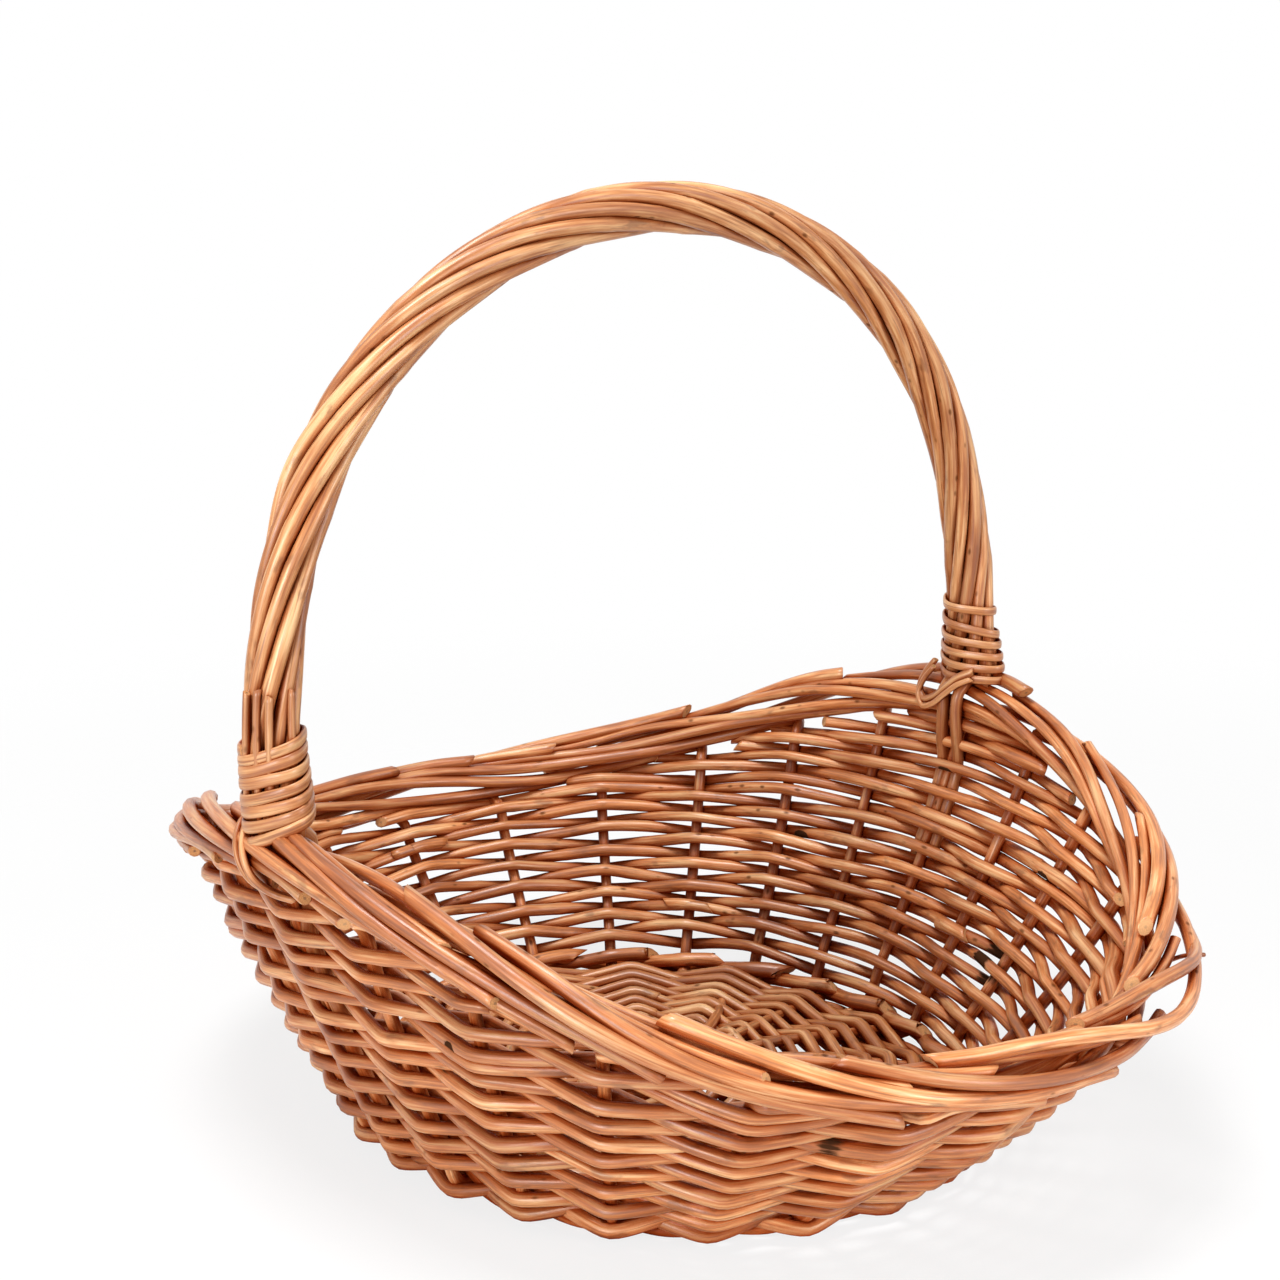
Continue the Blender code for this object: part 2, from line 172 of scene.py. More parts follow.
def length(name, about, default):
    """Property for a length, which is never negative."""
    return FloatProperty(name=name, description=about, default=default, min=0.0, unit='LENGTH', precision=4)


def place_of(name, about, default):
    """Property for a place along an axis."""
    return FloatProperty(name=name, description=about, default=default, unit='LENGTH', precision=4)


def angle_of(name, about, degrees):
    """Property for an angle."""
    return FloatProperty(name=name, description=about, default=math.radians(degrees), subtype='ANGLE')


def amount(name, about, default, low=0.0):
    """Property for a plain number with a lower limit."""
    return FloatProperty(name=name, description=about, default=default, min=low)


def colour(name, about, default):
    """Property for a colour."""
    return FloatVectorProperty(name=name, description=about, default=default, min=0.0, max=1.0,
                               size=3, subtype='COLOR')


class BasketSizes(bpy.types.PropertyGroup):
    """Sizes of the basket, in metres"""

    rim_length: length("Rim length", "Length of the border's middle line", 0.236)
    rim_width: length("Rim width", "Width of the border's middle line", 0.200)
    rim_low: length("Rim low", "Height of the border at the two long ends", 0.047)
    rim_high: length("Rim high", "Height of the border beside the handle", 0.081)
    base_length: length("Base length", "Length of the base edge", 0.156)
    base_width: length("Base width", "Width of the base edge", 0.134)
    base_off_x: place_of("Base off X", "How far the base's middle lies off the border's along X", -0.0017)
    base_off_y: place_of("Base off Y", "How far the base's middle lies off the border's along Y", -0.0022)
    handle_rise: length("Handle rise", "Height of the handle over the high border", 0.1255)
    handle_out: length("Handle set out", "How far the handle's feet stand out over the border", 0.0032)
    stake: length("Stake", "Diameter of a stake", 0.0029)
    border_rod: length("Border rod", "Diameter of a stake where it is rolled into the border", 0.0033)
    border_out: length("Border out", "How far the loose border leans out over its middle line", 0.0003)
    border_sag: length("Border sag", "How far the loose border sags under its middle line", 0.0006)
    weaver: length("Weaver", "Mean diameter of a side weaver", 0.0030)
    stick: length("Base stick", "Diameter of a base stick", 0.0026)
    base_weaver: length("Base weaver", "Mean diameter of a base weaver", 0.0028)
    foot: length("Foot", "Height of the twined foot", 0.0049)
    handle_rod: length("Handle rod", "Mean diameter of a handle rod", 0.0032)
    row_pitch: length("Row pitch", "Rise of one row of the side weave", 0.00308)
    seat: length("Seat", "Clearance of rods that rest on each other", 0.0003)
    butt: length("Butt", "Length of a stake under the base", 0.0045)
    slath_spacing: length("Cross spacing", "Distance of the base sticks in the cross", 0.005)
    slath_arm: length("Cross arm", "Reach of the cross before its sticks fan out", 0.014)
    leg: length("Leg", "How far the handle's legs go down the wall", 0.040)
    binding: length("Binding", "Width of the split rod round the handle's feet", 0.0026)


class WillowFinish(bpy.types.PropertyGroup):
    """Colours of the willow"""

    honey: colour("Honey", "Main colour of the handle's rods", (0.55, 0.228, 0.080))
    amber: colour("Amber", "Main colour of the woven rods, a little redder", (0.60, 0.210, 0.060))
    straw: colour("Straw", "Palest streaks of the peeled rods", (0.84, 0.51, 0.25))
    russet: colour("Russet", "Darkest streaks of the peeled rods", (0.36, 0.118, 0.036))
    bark: colour("Bark", "Buds and bark that was left on", (0.055, 0.022, 0.010))
    pith: colour("Pith", "Cut ends of the rods", (0.62, 0.27, 0.085))
    olive: colour("Olive", "Greenish tan of the base rods", (0.55, 0.208, 0.062))
    roughness: FloatProperty(name="Roughness", description="Roughness of the peeled skin",
                             default=0.40, min=0.0, max=1.0, subtype='FACTOR')
    seed: IntProperty(name="Seed", description="Seed of the rods' small differences", default=7, min=0)


class StudioSetup(bpy.types.PropertyGroup):
    """Camera and light"""

    azimuth: angle_of("Azimuth", "Turn of the camera round the basket", 52.398)
    elevation: angle_of("Elevation", "Tilt of the camera's view", 12.621)
    roll: angle_of("Roll", "Roll of the camera", -0.678)
    lens: amount("Lens", "Focal length in millimetres", 64.24, 1.0)
    distance: length("Distance", "Distance of the camera from the point it looks at", 0.5161)
    look_height: length("Look height", "Height of the point that the camera looks at", 0.1104)
    look_side: place_of("Look side", "Shift of that point to the right", -0.0046)
    key: amount("Key light", "Power of the large soft light in watts", 15.4)
    fill: amount("Fill light", "Power of the light on the right in watts", 7.8)
    top: amount("Top light", "Power of the light from above in watts", 11.0)
    room: amount("Room light", "Strength of the even light from all sides", 0.27)


def unit(vectors):
    """The vectors at length one."""
    return vectors / np.linalg.norm(vectors, axis=-1, keepdims=True)


def eased(x):
    """Smooth step from 0 to 1."""
    x = np.clip(x, 0, 1)
    return x * x * (3 - 2 * x)


def hump(x, at, half):
    """Soft hump of height one at a place."""
    return np.exp(-((x - at) / half) ** 2)


def kinked(x, tight=0.965):
    """Wave of period 2 that is 1 at even and -1 at odd numbers, straight between and bent at them."""
    return np.arcsin(tight * np.cos(math.pi * np.asarray(x))) / math.asin(tight)


def phase(chance):
    """Random start of a wave."""
    return chance.uniform(0, 6.3)


def sway(along, chance, sizes, waves):
    """One slow random swing along a rod, its size and waves within their limits."""
    return chance.uniform(*sizes) * np.sin(along * chance.uniform(*waves) + phase(chance))


def ripple(s, chance, size, wave):
    """Slow random bends along a rod."""
    made = 0 * s
    for _ in range(3):
        wide = wave * chance.uniform(0.6, 1.7)
        made = made + chance.uniform(0.4, 1) * np.sin(2 * math.pi * s / wide + phase(chance))
    return size * made / 2


def flowing(points, step=STEP):
    """Smooth line through the points, with its places an even step apart."""
    p = np.asarray(points, float)
    chord = np.linalg.norm(np.diff(p, axis=0), axis=1)
    at = np.concatenate([[0], np.cumsum(chord)])
    slope = np.gradient(p, at, axis=0)
    s = np.linspace(0, at[-1], max(int(at[-1] / step), 4) + 1)
    i = np.clip(np.searchsorted(at, s, 'right') - 1, 0, len(p) - 2)
    h = chord[i][:, None]
    f = ((s - at[i]) / chord[i])[:, None]
    return ((2 * f ** 3 - 3 * f ** 2 + 1) * p[i] + (f ** 3 - 2 * f ** 2 + f) * slope[i] * h
            + (3 * f ** 2 - 2 * f ** 3) * p[i + 1] + (f ** 3 - f ** 2) * slope[i + 1] * h)


def runs_of(line):
    """Distance from the line's start at each of its places."""
    return np.concatenate([[0], np.cumsum(np.linalg.norm(np.diff(line, axis=0), axis=1))])


def at_runs(line, runs, wanted):
    """Places of a line at the wanted distances from its start."""
    return np.stack([np.interp(wanted, runs, line[:, axis]) for axis in range(3)], -1)


def taper(line, butt, tip, chance):
    """Radius along a rod that thins from butt to tip, with soft knuckles where buds sat."""
    s = runs_of(line)
    made = butt + (tip - butt) * s / s[-1]
    made = made * (1 + ripple(s, chance, *SWELLS))
    at = chance.uniform(*FIRST_KNUCKLE)
    while at < s[-1]:
        made = made * (1 + chance.uniform(0.03, 0.09) * hump(s, at, KNUCKLE))
        at += chance.uniform(*NEXT_KNUCKLE)
    return made


def carried(tangents, first):
    """Normals carried along a line without twist."""
    x, y, z = first
    made = []
    for a, b, c in tangents.tolist():
        d = x * a + y * b + z * c
        x, y, z = x - d * a, y - d * b, z - d * c
        size = math.sqrt(x * x + y * y + z * z)
        x, y, z = x / size, y / size, z / size
        made.append((x, y, z))
    return np.array(made)


class Form:
    """Lines of the basket, worked out from its sizes as the CAD source does."""

    def __init__(self, sizes):
        self.s = sizes
        self.stake_r = sizes.stake / 2
        self.weaver_r = sizes.weaver / 2
        self.stick_r = sizes.stick / 2
        self.base_weaver_r = sizes.base_weaver / 2
        self.foot_r = sizes.foot / 2
        self.handle_r = sizes.handle_rod / 2
        self.border_r = sizes.border_rod / 2
        strand_angle = 2 * math.pi / BORDER_STRANDS
        self.border_rise = (self.border_r + sizes.seat / 4) / math.sin(strand_angle / 2)
        self.border_reach = self.border_rise * BORDER_WIDTH_SHARE
        self.roll = strand_angle * BORDER_ROLL_SHARE
        self.ring_rise = self.border_r * BORDER_RING_SHARE / math.sin(self.roll / 2)
        self.ring_reach = self.ring_rise * (1 + BORDER_WIDTH_SHARE) / 2
        self.turns = np.linspace(0, 2 * math.pi, 181)
        marks = np.stack([self.wall(self.turns, u) for u in np.linspace(0, 1, 13)])
        self.slants = np.linalg.norm(np.diff(marks, axis=0), axis=2).sum(axis=0)
        room = min(self.slants[0], self.slants[len(self.turns) // 2]) - BORDER_CLEAR - FIRST_ROW
        self.rows = int(room / sizes.row_pitch)
        self.handle_foot = sizes.rim_high + HANDLE_FOOT_RISE
        self.handle_ring_r = sizes.handle_rod * HANDLE_RING / (2 * math.pi) * HANDLE_PACKING

    def spot(self, n):
        """Angle round the oval of stake place n; the stakes stand a little closer beside the handle."""
        turn = 2 * math.pi * np.asarray(n, float) / STAKES
        return turn + CROWD_SHARE * np.sin(2 * turn)

    def rim(self, t):
        """Middle line of the border."""
        t = np.asarray(t, float)
        lift = (self.s.rim_high - self.s.rim_low) * np.abs(np.sin(t)) ** SADDLE_POWER
        return np.stack([self.s.rim_length / 2 * np.cos(t), self.s.rim_width / 2 * np.sin(t),
                         self.s.rim_low + lift], -1)

    def base_point(self, t, share, z):
        """Place in the base at a share of the way from its middle to its edge."""
        t = np.asarray(t, float)
        return np.stack([self.s.base_off_x + self.s.base_length / 2 * share * np.cos(t),
                         self.s.base_off_y + self.s.base_width / 2 * share * np.sin(t), z + 0 * t], -1)

    def wall(self, t, u):
        """Place on the bulging wall at a share of its height."""
        t, u = np.broadcast_arrays(np.asarray(t, float), np.asarray(u, float))
        low = self.base_point(t, 1, BASE_EDGE_Z)
        high = self.rim(t)
        flare = (u + BULGE_SHARE * u * (1 - u))[..., None]
        made = low + (high - low) * flare
        made[..., 2] = low[..., 2] + (high[..., 2] - low[..., 2]) * u
        return made

    def slant(self, t):
        """Length of the wall from the base edge up to the border's middle line."""
        return np.interp(np.mod(t, 2 * math.pi), self.turns, self.slants)

    def outward(self, t, u):
        """Direction straight out of the wall."""
        along = self.wall(t + 0.001, u) - self.wall(t - 0.001, u)
        up = self.wall(t, u + 0.001) - self.wall(t, u - 0.001)
        return unit(np.cross(along, up))

    def on_wall(self, n, run, off):
        """Place at stake place n, a run up the wall from the base edge and a little off it."""
        t = self.spot(n)
        u = run / self.slant(t)
        return self.wall(t, u) + self.outward(t, u) * np.asarray(off)[..., None]

    def border_point(self, n, angle, swell=0.0):
        """Place in the rolled border; angle 0 is its outer side and a quarter turn its top."""
        n = np.asarray(n, float)
        here = self.rim(self.spot(n))
        along = unit(self.rim(self.spot(n + 0.01)) - self.rim(self.spot(n - 0.01)))
        out = unit(np.cross(along, [0, 0, 1.0]))
        up = np.cross(out, along)
        reach = (self.ring_reach + swell) * np.cos(angle) + self.s.border_out
        slack = 1 + 2.5 * np.clip(np.cos(self.spot(n) - 0.3), 0, 1) ** 12
        rise = (self.ring_rise + swell) * np.sin(angle) - self.s.border_sag * slack
        return here + out * reach[..., None] + up * rise[..., None]

    def arch(self, share):
        """Middle line of the handle, from its foot at -Y, 0, to its foot at +Y, 1."""
        share = np.asarray(share, float)
        c, s = np.cos(math.pi * share), np.sin(math.pi * share)
        half = self.s.rim_width / 2 - HANDLE_INSET + self.s.handle_out
        top = self.s.rim_high + self.s.handle_rise
        y = -half * np.sign(c) * np.abs(c) ** HANDLE_SIDE_POWER
        z = self.handle_foot + (top - self.handle_foot) * np.abs(s) ** HANDLE_TOP_POWER
        return np.stack([0 * y, y, z], -1)

    def handle_marks(self, count=140):
        """Even places along the handle's middle line, their inward normals, and their distances."""
        fine = self.arch(np.linspace(0, 1, 1200))
        runs = runs_of(fine)
        even = np.linspace(0, runs[-1], count)
        marks = at_runs(fine, runs, even)
        return marks, np.cross(unit(np.gradient(marks, axis=0)), [1.0, 0, 0]), even


def splayed(up):
    """How much wider than the rest the handle is at a distance up from its foot."""
    return 1 + SPLAY_SHARE * (1 - eased(up / SPLAY_HEIGHT))


def settled(t, run):
    """Place up the wall after the rows have settled a little unevenly on each other."""
    made = run
    for size, round_waves, up_waves in SETTLING:
        made = made + size * np.sin(round_waves * t + up_waves * run)
    return made


def bark_left(form, line):
    """Bark that was left on round the marked places of the wall, as a value along a line."""
    value = 0.0
    for n, share, reach, strength in BARK_PLACES:
        away = np.linalg.norm(line - form.wall(form.spot(n), share), axis=1)
        value = value + strength * hump(away, 0, reach)
    return value


def setup(index):
    """Form of the basket, and the random numbers of one operator."""
    scene = bpy.context.scene
    return Form(scene.basket_sizes), np.random.default_rng(scene.willow_finish.seed * 100 + index)


class Bundle:
    """Rods that make up one piece."""

    first_cross = (0.31, 0.2, 0.93)
    lump_share, lump_length = 0.02, 0.013
    lip_share, lip_rise = 0.86, 0.10

    def __init__(self, chance):
        self.chance = chance
        self.count = 0
        self.places, self.faces, self.cut = [], [], []
        self.space, self.tone, self.bark = [], [], []

    def rod(self, line, radius, sides=ROD_SIDES, thin=1.0, normals=None, bark=None, slope=(0.25, 0.25),
            tone=None, around=0.0):
        """One rod round a line, with a slanted cut at both ends.

        A rod with thin under 1 is flat along its normals. bark marks one side of
        it, around marks it all round, and tone is 0 for dark and 1 for pale.
        """
        chance = self.chance
        k = len(line)
        radius = np.broadcast_to(np.asarray(radius, float), (k,))
        tangents = unit(np.gradient(line, axis=0))
        if normals is None:
            normals = carried(tangents, unit(np.cross(tangents[0], self.first_cross)))
        others = np.cross(tangents, normals)
        angle = 2 * math.pi * np.arange(sides) / sides
        across, along = np.cos(angle), np.sin(angle)
        if thin < 1:
            across = np.sign(across) * np.abs(across) ** 0.7
            along = np.sign(along) * np.abs(along) ** 0.8
        s = runs_of(line)
        lump = self.lump_share * np.sin(angle * 2 + phase(chance)) * np.cos(s / self.lump_length)[:, None]
        reach = radius[:, None] * (1 + lump)
        local_x, local_y = reach * across * thin, reach * along
        skin = line[:, None] + normals[:, None] * local_x[..., None] + others[:, None] * local_y[..., None]
        lean = [np.cos(angle - phase(chance)) for _ in range(2)]
        drift = chance.uniform(0, 4)
        space = np.stack([local_x, local_y, np.broadcast_to(s[:, None] + drift, local_x.shape)], -1)
        caps, cap_space = [], []
        for end, row, way in ((0, 0, -1), (1, k - 1, 1)):
            skin[row] += tangents[row] * (lean[end] * radius[row] * slope[end])[:, None]
            middle = skin[row].mean(axis=0)
            rise = tangents[row] * way * radius[row] * self.lip_rise
            caps += [middle + (skin[row] - middle) * self.lip_share + rise, (middle + rise)[None]]
            cap_space += [space[row] * [self.lip_share, self.lip_share, 1],
                          (space[row].mean(axis=0) * [0, 0, 1])[None]]
        self.add_faces(k, sides)
        self.places += [skin.reshape(-1, 3)] + caps
        self.space += [space.reshape(-1, 3)] + cap_space
        marks = np.zeros((k, sides))
        if bark is not None:
            marks = np.asarray(bark)[:, None] * np.clip(0.35 + np.cos(angle - phase(chance)), 0, 1)
        marks = marks + np.broadcast_to(around, (k,))[:, None]
        self.bark += [marks.reshape(-1), np.zeros(2 * (sides + 1))]
        if tone is None:
            tone = chance.uniform(0, 1)
        tones = np.broadcast_to(np.asarray(tone, float), (k,))
        self.tone += [np.repeat(tones, sides), np.repeat(tones[[0, -1]], sides + 1)]
        self.count += k * sides + 2 * (sides + 1)

    def add_faces(self, k, sides):
        """Faces of a rod with k rings, then a narrow lip and a flat cut at each end."""
        grid = self.count + np.arange(k * sides).reshape(k, sides)
        turned = np.roll(grid, -1, axis=1)
        quads = np.stack([grid[:-1], turned[:-1], turned[1:], grid[1:]], -1).reshape(-1, 4)
        self.faces += quads.tolist()
        self.cut += [0] * len(quads)
        at = self.count + k * sides
        for row, flip in ((0, True), (k - 1, False)):
            for j in range(sides):
                after = (j + 1) % sides
                lip = [int(grid[row][j]), int(grid[row][after]), at + after, at + j]
                cut = [at + j, at + after, at + sides]
                self.faces += [lip[::-1], cut[::-1]] if flip else [lip, cut]
                self.cut += [0, 1]
            at += sides + 1

    def piece(self, name, skin, slot="willow", stands=True):
        """Make the bundle one visible piece, which stands for the CAD node of that name or for none."""
        mesh = bpy.data.meshes.new(name + "_willow")
        mesh.from_pydata(np.concatenate(self.places).tolist(), [], self.faces)
        for label, kind, field, values in (("rod_space", 'FLOAT_VECTOR', "vector", self.space),
                                           ("rod_tone", 'FLOAT', "value", self.tone),
                                           ("bark", 'FLOAT', "value", self.bark)):
            layer = mesh.attributes.new(label, kind, 'POINT')
            layer.data.foreach_set(field, np.concatenate(values).astype(np.float32).ravel())
        mesh.materials.append(skin_named(skin))
        mesh.materials.append(skin_named("willow_cut_end"))
        mesh.polygons.foreach_set("material_index", self.cut)
        mesh.polygons.foreach_set("use_smooth", [not c for c in self.cut])
        mesh.validate()
        mesh.update()
        made = bpy.data.objects.new(name + "_willow", mesh)
        bpy.context.scene.collection.objects.link(made)
        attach(made, "root")
        if stands:
            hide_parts(name)


class Nodes:
    """Node tree of a material or of the world, with a short call for each kind of step."""

    def __init__(self, owner):
        owner.use_nodes = True
        self.tree = owner.node_tree
        self.tree.nodes.clear()

    def add(self, kind, inputs=(), **settings):
        """A node with its settings; inputs are (socket, value or output) pairs."""
        made = self.tree.nodes.new(kind)
        for key, value in settings.items():
            setattr(made, key, value)
        for socket, value in inputs:
            if isinstance(value, bpy.types.NodeSocket):
                self.tree.links.new(value, made.inputs[socket])
            else:
                made.inputs[socket].default_value = value
        return made

    def attribute(self, name, output="Fac"):
        """Value that the mesh carries."""
        return self.add('ShaderNodeAttribute', attribute_name=name).outputs[output]

    def arith(self, operation, *values):
        """Result of one calculation."""
        return self.add('ShaderNodeMath', enumerate(values), operation=operation).outputs[0]

    def times(self, a, b):
        """Product of two values."""
        return self.arith('MULTIPLY', a, b)

    def stretched(self, place, sizes):
        """Place with each of its parts multiplied."""
        return self.add('ShaderNodeVectorMath', ((0, place), (1, sizes)), operation='MULTIPLY').outputs[0]

    def spread(self, value, low, high, to_low=0.0, to_high=1.0):
        """Smooth step of a value between two limits."""
        pairs = (("Value", value), ("From Min", low), ("From Max", high), ("To Min", to_low),
                 ("To Max", to_high))
        return self.add('ShaderNodeMapRange', pairs, interpolation_type='SMOOTHSTEP').outputs[0]

    def mixed(self, factor, a, b, blend='MIX'):
        """Colour b laid over colour a."""
        return self.add('ShaderNodeMix', ((0, factor), (6, a), (7, b)), data_type='RGBA',
                        blend_type=blend).outputs[2]

    def noise(self, place, across, along, detail):
        """Noise in the rod's own space, drawn out along the grain."""
        return self.add('ShaderNodeTexNoise', (
            ("Vector", self.stretched(place, (across, across, along))), ("Scale", 1.0),
            ("Detail", detail), ("Roughness", 0.55))).outputs[0]

    def bump(self, height, strength, depth):
        """Normal of a rough surface."""
        pairs = (("Strength", strength), ("Distance", depth), ("Height", height))
        return self.add('ShaderNodeBump', pairs).outputs[0]

    def joined(self, factor, first, second):
        """Shader between two shaders."""
        pairs = ((0, factor), (1, first.outputs[0]), (2, second.outputs[0]))
        return self.add('ShaderNodeMixShader', pairs)

    def finish(self, shader, kind='ShaderNodeOutputMaterial'):
        """Lead the shader to the output."""
        self.add(kind, ((0, shader.outputs[0]),))


def tinted(value, factor=1.0):
    """Colour of a node socket, made darker or paler by a factor."""
    return (*[min(1.0, c * factor) for c in value], 1)


def streaked(nodes, place, streak, low, middle, high):
    """Grain that goes from a dark to a middle and a pale colour, darker or paler by the rod's tone."""
    tone = nodes.attribute("rod_tone")
    blotch = nodes.noise(place, *BLOTCHES)
    grain = nodes.arith('ADD', nodes.times(streak, 0.55), nodes.times(blotch, 0.45))
    ramp = nodes.add('ShaderNodeValToRGB', (("Fac", grain),))
    stops = ramp.color_ramp.elements
    stops[0].position, stops[0].color = 0.38, low
    stops[1].position, stops[1].color = 0.64, high
    stops.new(0.49).color = middle
    by_tone = nodes.mixed(tone, (0.68, 0.56, 0.46, 1), (1.15, 1.19, 1.20, 1))
    return nodes.mixed(1.0, ramp.outputs["Color"], by_tone, 'MULTIPLY')


def specks(nodes, place):
    """Small dots where buds sat, in some of the cells of the skin."""
    cells = nodes.stretched(place, SPECK_CELLS)
    spots = nodes.add('ShaderNodeTexVoronoi', (("Vector", cells), ("Scale", 1.0)))
    chosen = nodes.add('ShaderNodeSeparateColor', (("Color", spots.outputs["Color"]),)).outputs[0]
    near = nodes.spread(spots.outputs["Distance"], 0.08, 0.26, 1.0, 0.0)
    return nodes.times(near, nodes.arith('GREATER_THAN', chosen, 0.74))


def willow_skin(name, finish, honey, shade, crevice_shade, coat):
    """Peeled willow: streaked grain, soft blotches, bud specks, bits of bark, and painted shade that darkens
    and reddens the crevices.
    """
    skin = bpy.data.materials.new(name)
    nodes = Nodes(skin)
    place = nodes.attribute("rod_space", "Vector")
    streak = nodes.noise(place, *STREAKS)
    fine = nodes.noise(place, *FINE_GRAIN)
    speck = specks(nodes, place)
    lines = nodes.spread(nodes.noise(place, *DARK_LINES), 0.58, 0.70)
    rusty = nodes.spread(nodes.noise(place, *RUST), 0.60, 0.72)
    body = streaked(nodes, place, streak, *[tinted(c, shade) for c in (finish.russet, honey, finish.straw)])
    for mark, share, dark in ((speck, 0.85, 0.38), (lines, 0.6, 0.6), (rusty, 0.55, 0.55)):
        body = nodes.mixed(nodes.times(mark, share), body, tinted(finish.russet, shade * dark))
    # Painted shade: near other rods the colour is multiplied darker and redder, and the coat and specular
    # are weakened there
    open_share = nodes.add('ShaderNodeAmbientOcclusion', (("Distance", SHADE_REACH),), samples=6).outputs["AO"]
    painted_shade = nodes.spread(open_share, 0.25, 1.0, crevice_shade, 0.0)
    body = nodes.mixed(painted_shade, body, nodes.mixed(1.0, body, (0.56, 0.225, 0.115, 1), 'MULTIPLY'))
    ragged = nodes.arith('ADD', nodes.attribute("bark"), nodes.times(streak, 0.55))
    ragged = nodes.spread(ragged, 0.72, 0.86)
    body = nodes.mixed(ragged, body, tinted(finish.bark, shade))
    height = nodes.arith('ADD', nodes.times(fine, 0.35), nodes.times(streak, 0.8))
    height = nodes.arith('ADD', height, nodes.times(ragged, 0.8))
    dull = nodes.arith('MAXIMUM', ragged, nodes.times(speck, 0.8))
    sheen = nodes.times(nodes.spread(open_share, 0.35, 0.95), nodes.arith('SUBTRACT', 1.0, dull))
    nodes.finish(nodes.add('ShaderNodeBsdfPrincipled', (
        ("Base Color", body), ("Normal", nodes.bump(height, 0.45, SKIN_DEPTH)),
        ("Roughness", nodes.spread(fine, 0.3, 0.7, finish.roughness - 0.07, finish.roughness + 0.10)),
        ("Coat Weight", nodes.times(sheen, coat)), ("Coat Roughness", 0.3),
        ("Specular IOR Level", nodes.times(sheen, 0.5)))))
    skin.diffuse_color = tinted(honey, shade)
    return skin


def cut_end_skin(name, finish):
    """Cut face of a rod: pale wood with a darker ring and pith."""
    skin = bpy.data.materials.new(name)
    nodes = Nodes(skin)
    place = nodes.attribute("rod_space", "Vector")
    parts = nodes.add('ShaderNodeSeparateXYZ', ((0, place),)).outputs
    square = nodes.arith('ADD', nodes.arith('POWER', parts[0], 2.0), nodes.arith('POWER', parts[1], 2.0))
    radius = nodes.arith('SQRT', square)
    core = nodes.spread(radius, 0.00018, 0.00040, 1.0, 0.0)
    edge = nodes.spread(radius, 0.00080, 0.00125)
    fleck = nodes.noise(place, *END_FLECKS)
    pale = nodes.spread(nodes.attribute("rod_tone"), 0.0, 1.0, 0.0, 0.5)
    body = nodes.mixed(nodes.spread(fleck, 0.35, 0.68), tinted(finish.pith), tinted(finish.pith, 0.62))
    body = nodes.mixed(nodes.times(edge, 0.5), body, tinted(finish.russet))
    body = nodes.mixed(nodes.times(core, 0.7), body, tinted(finish.bark, 2.2))
    body = nodes.mixed(pale, body, tinted(finish.straw))
    nodes.finish(nodes.add('ShaderNodeBsdfPrincipled', (
        ("Base Color", body), ("Roughness", nodes.spread(fleck, 0.3, 0.7, 0.62, 0.8)),
        ("Normal", nodes.bump(fleck, 0.5, END_DEPTH)))))
    return skin


def skin_named(name):
    """The willow material of that name, made when it is first asked for."""
    if name in bpy.data.materials:
        return bpy.data.materials[name]
    finish = bpy.context.scene.willow_finish
    if name == "willow_cut_end":
        return cut_end_skin(name, finish)
    main_colour, *rest = SKINS[name]
    return willow_skin(name, finish, getattr(finish, main_colour), *rest)


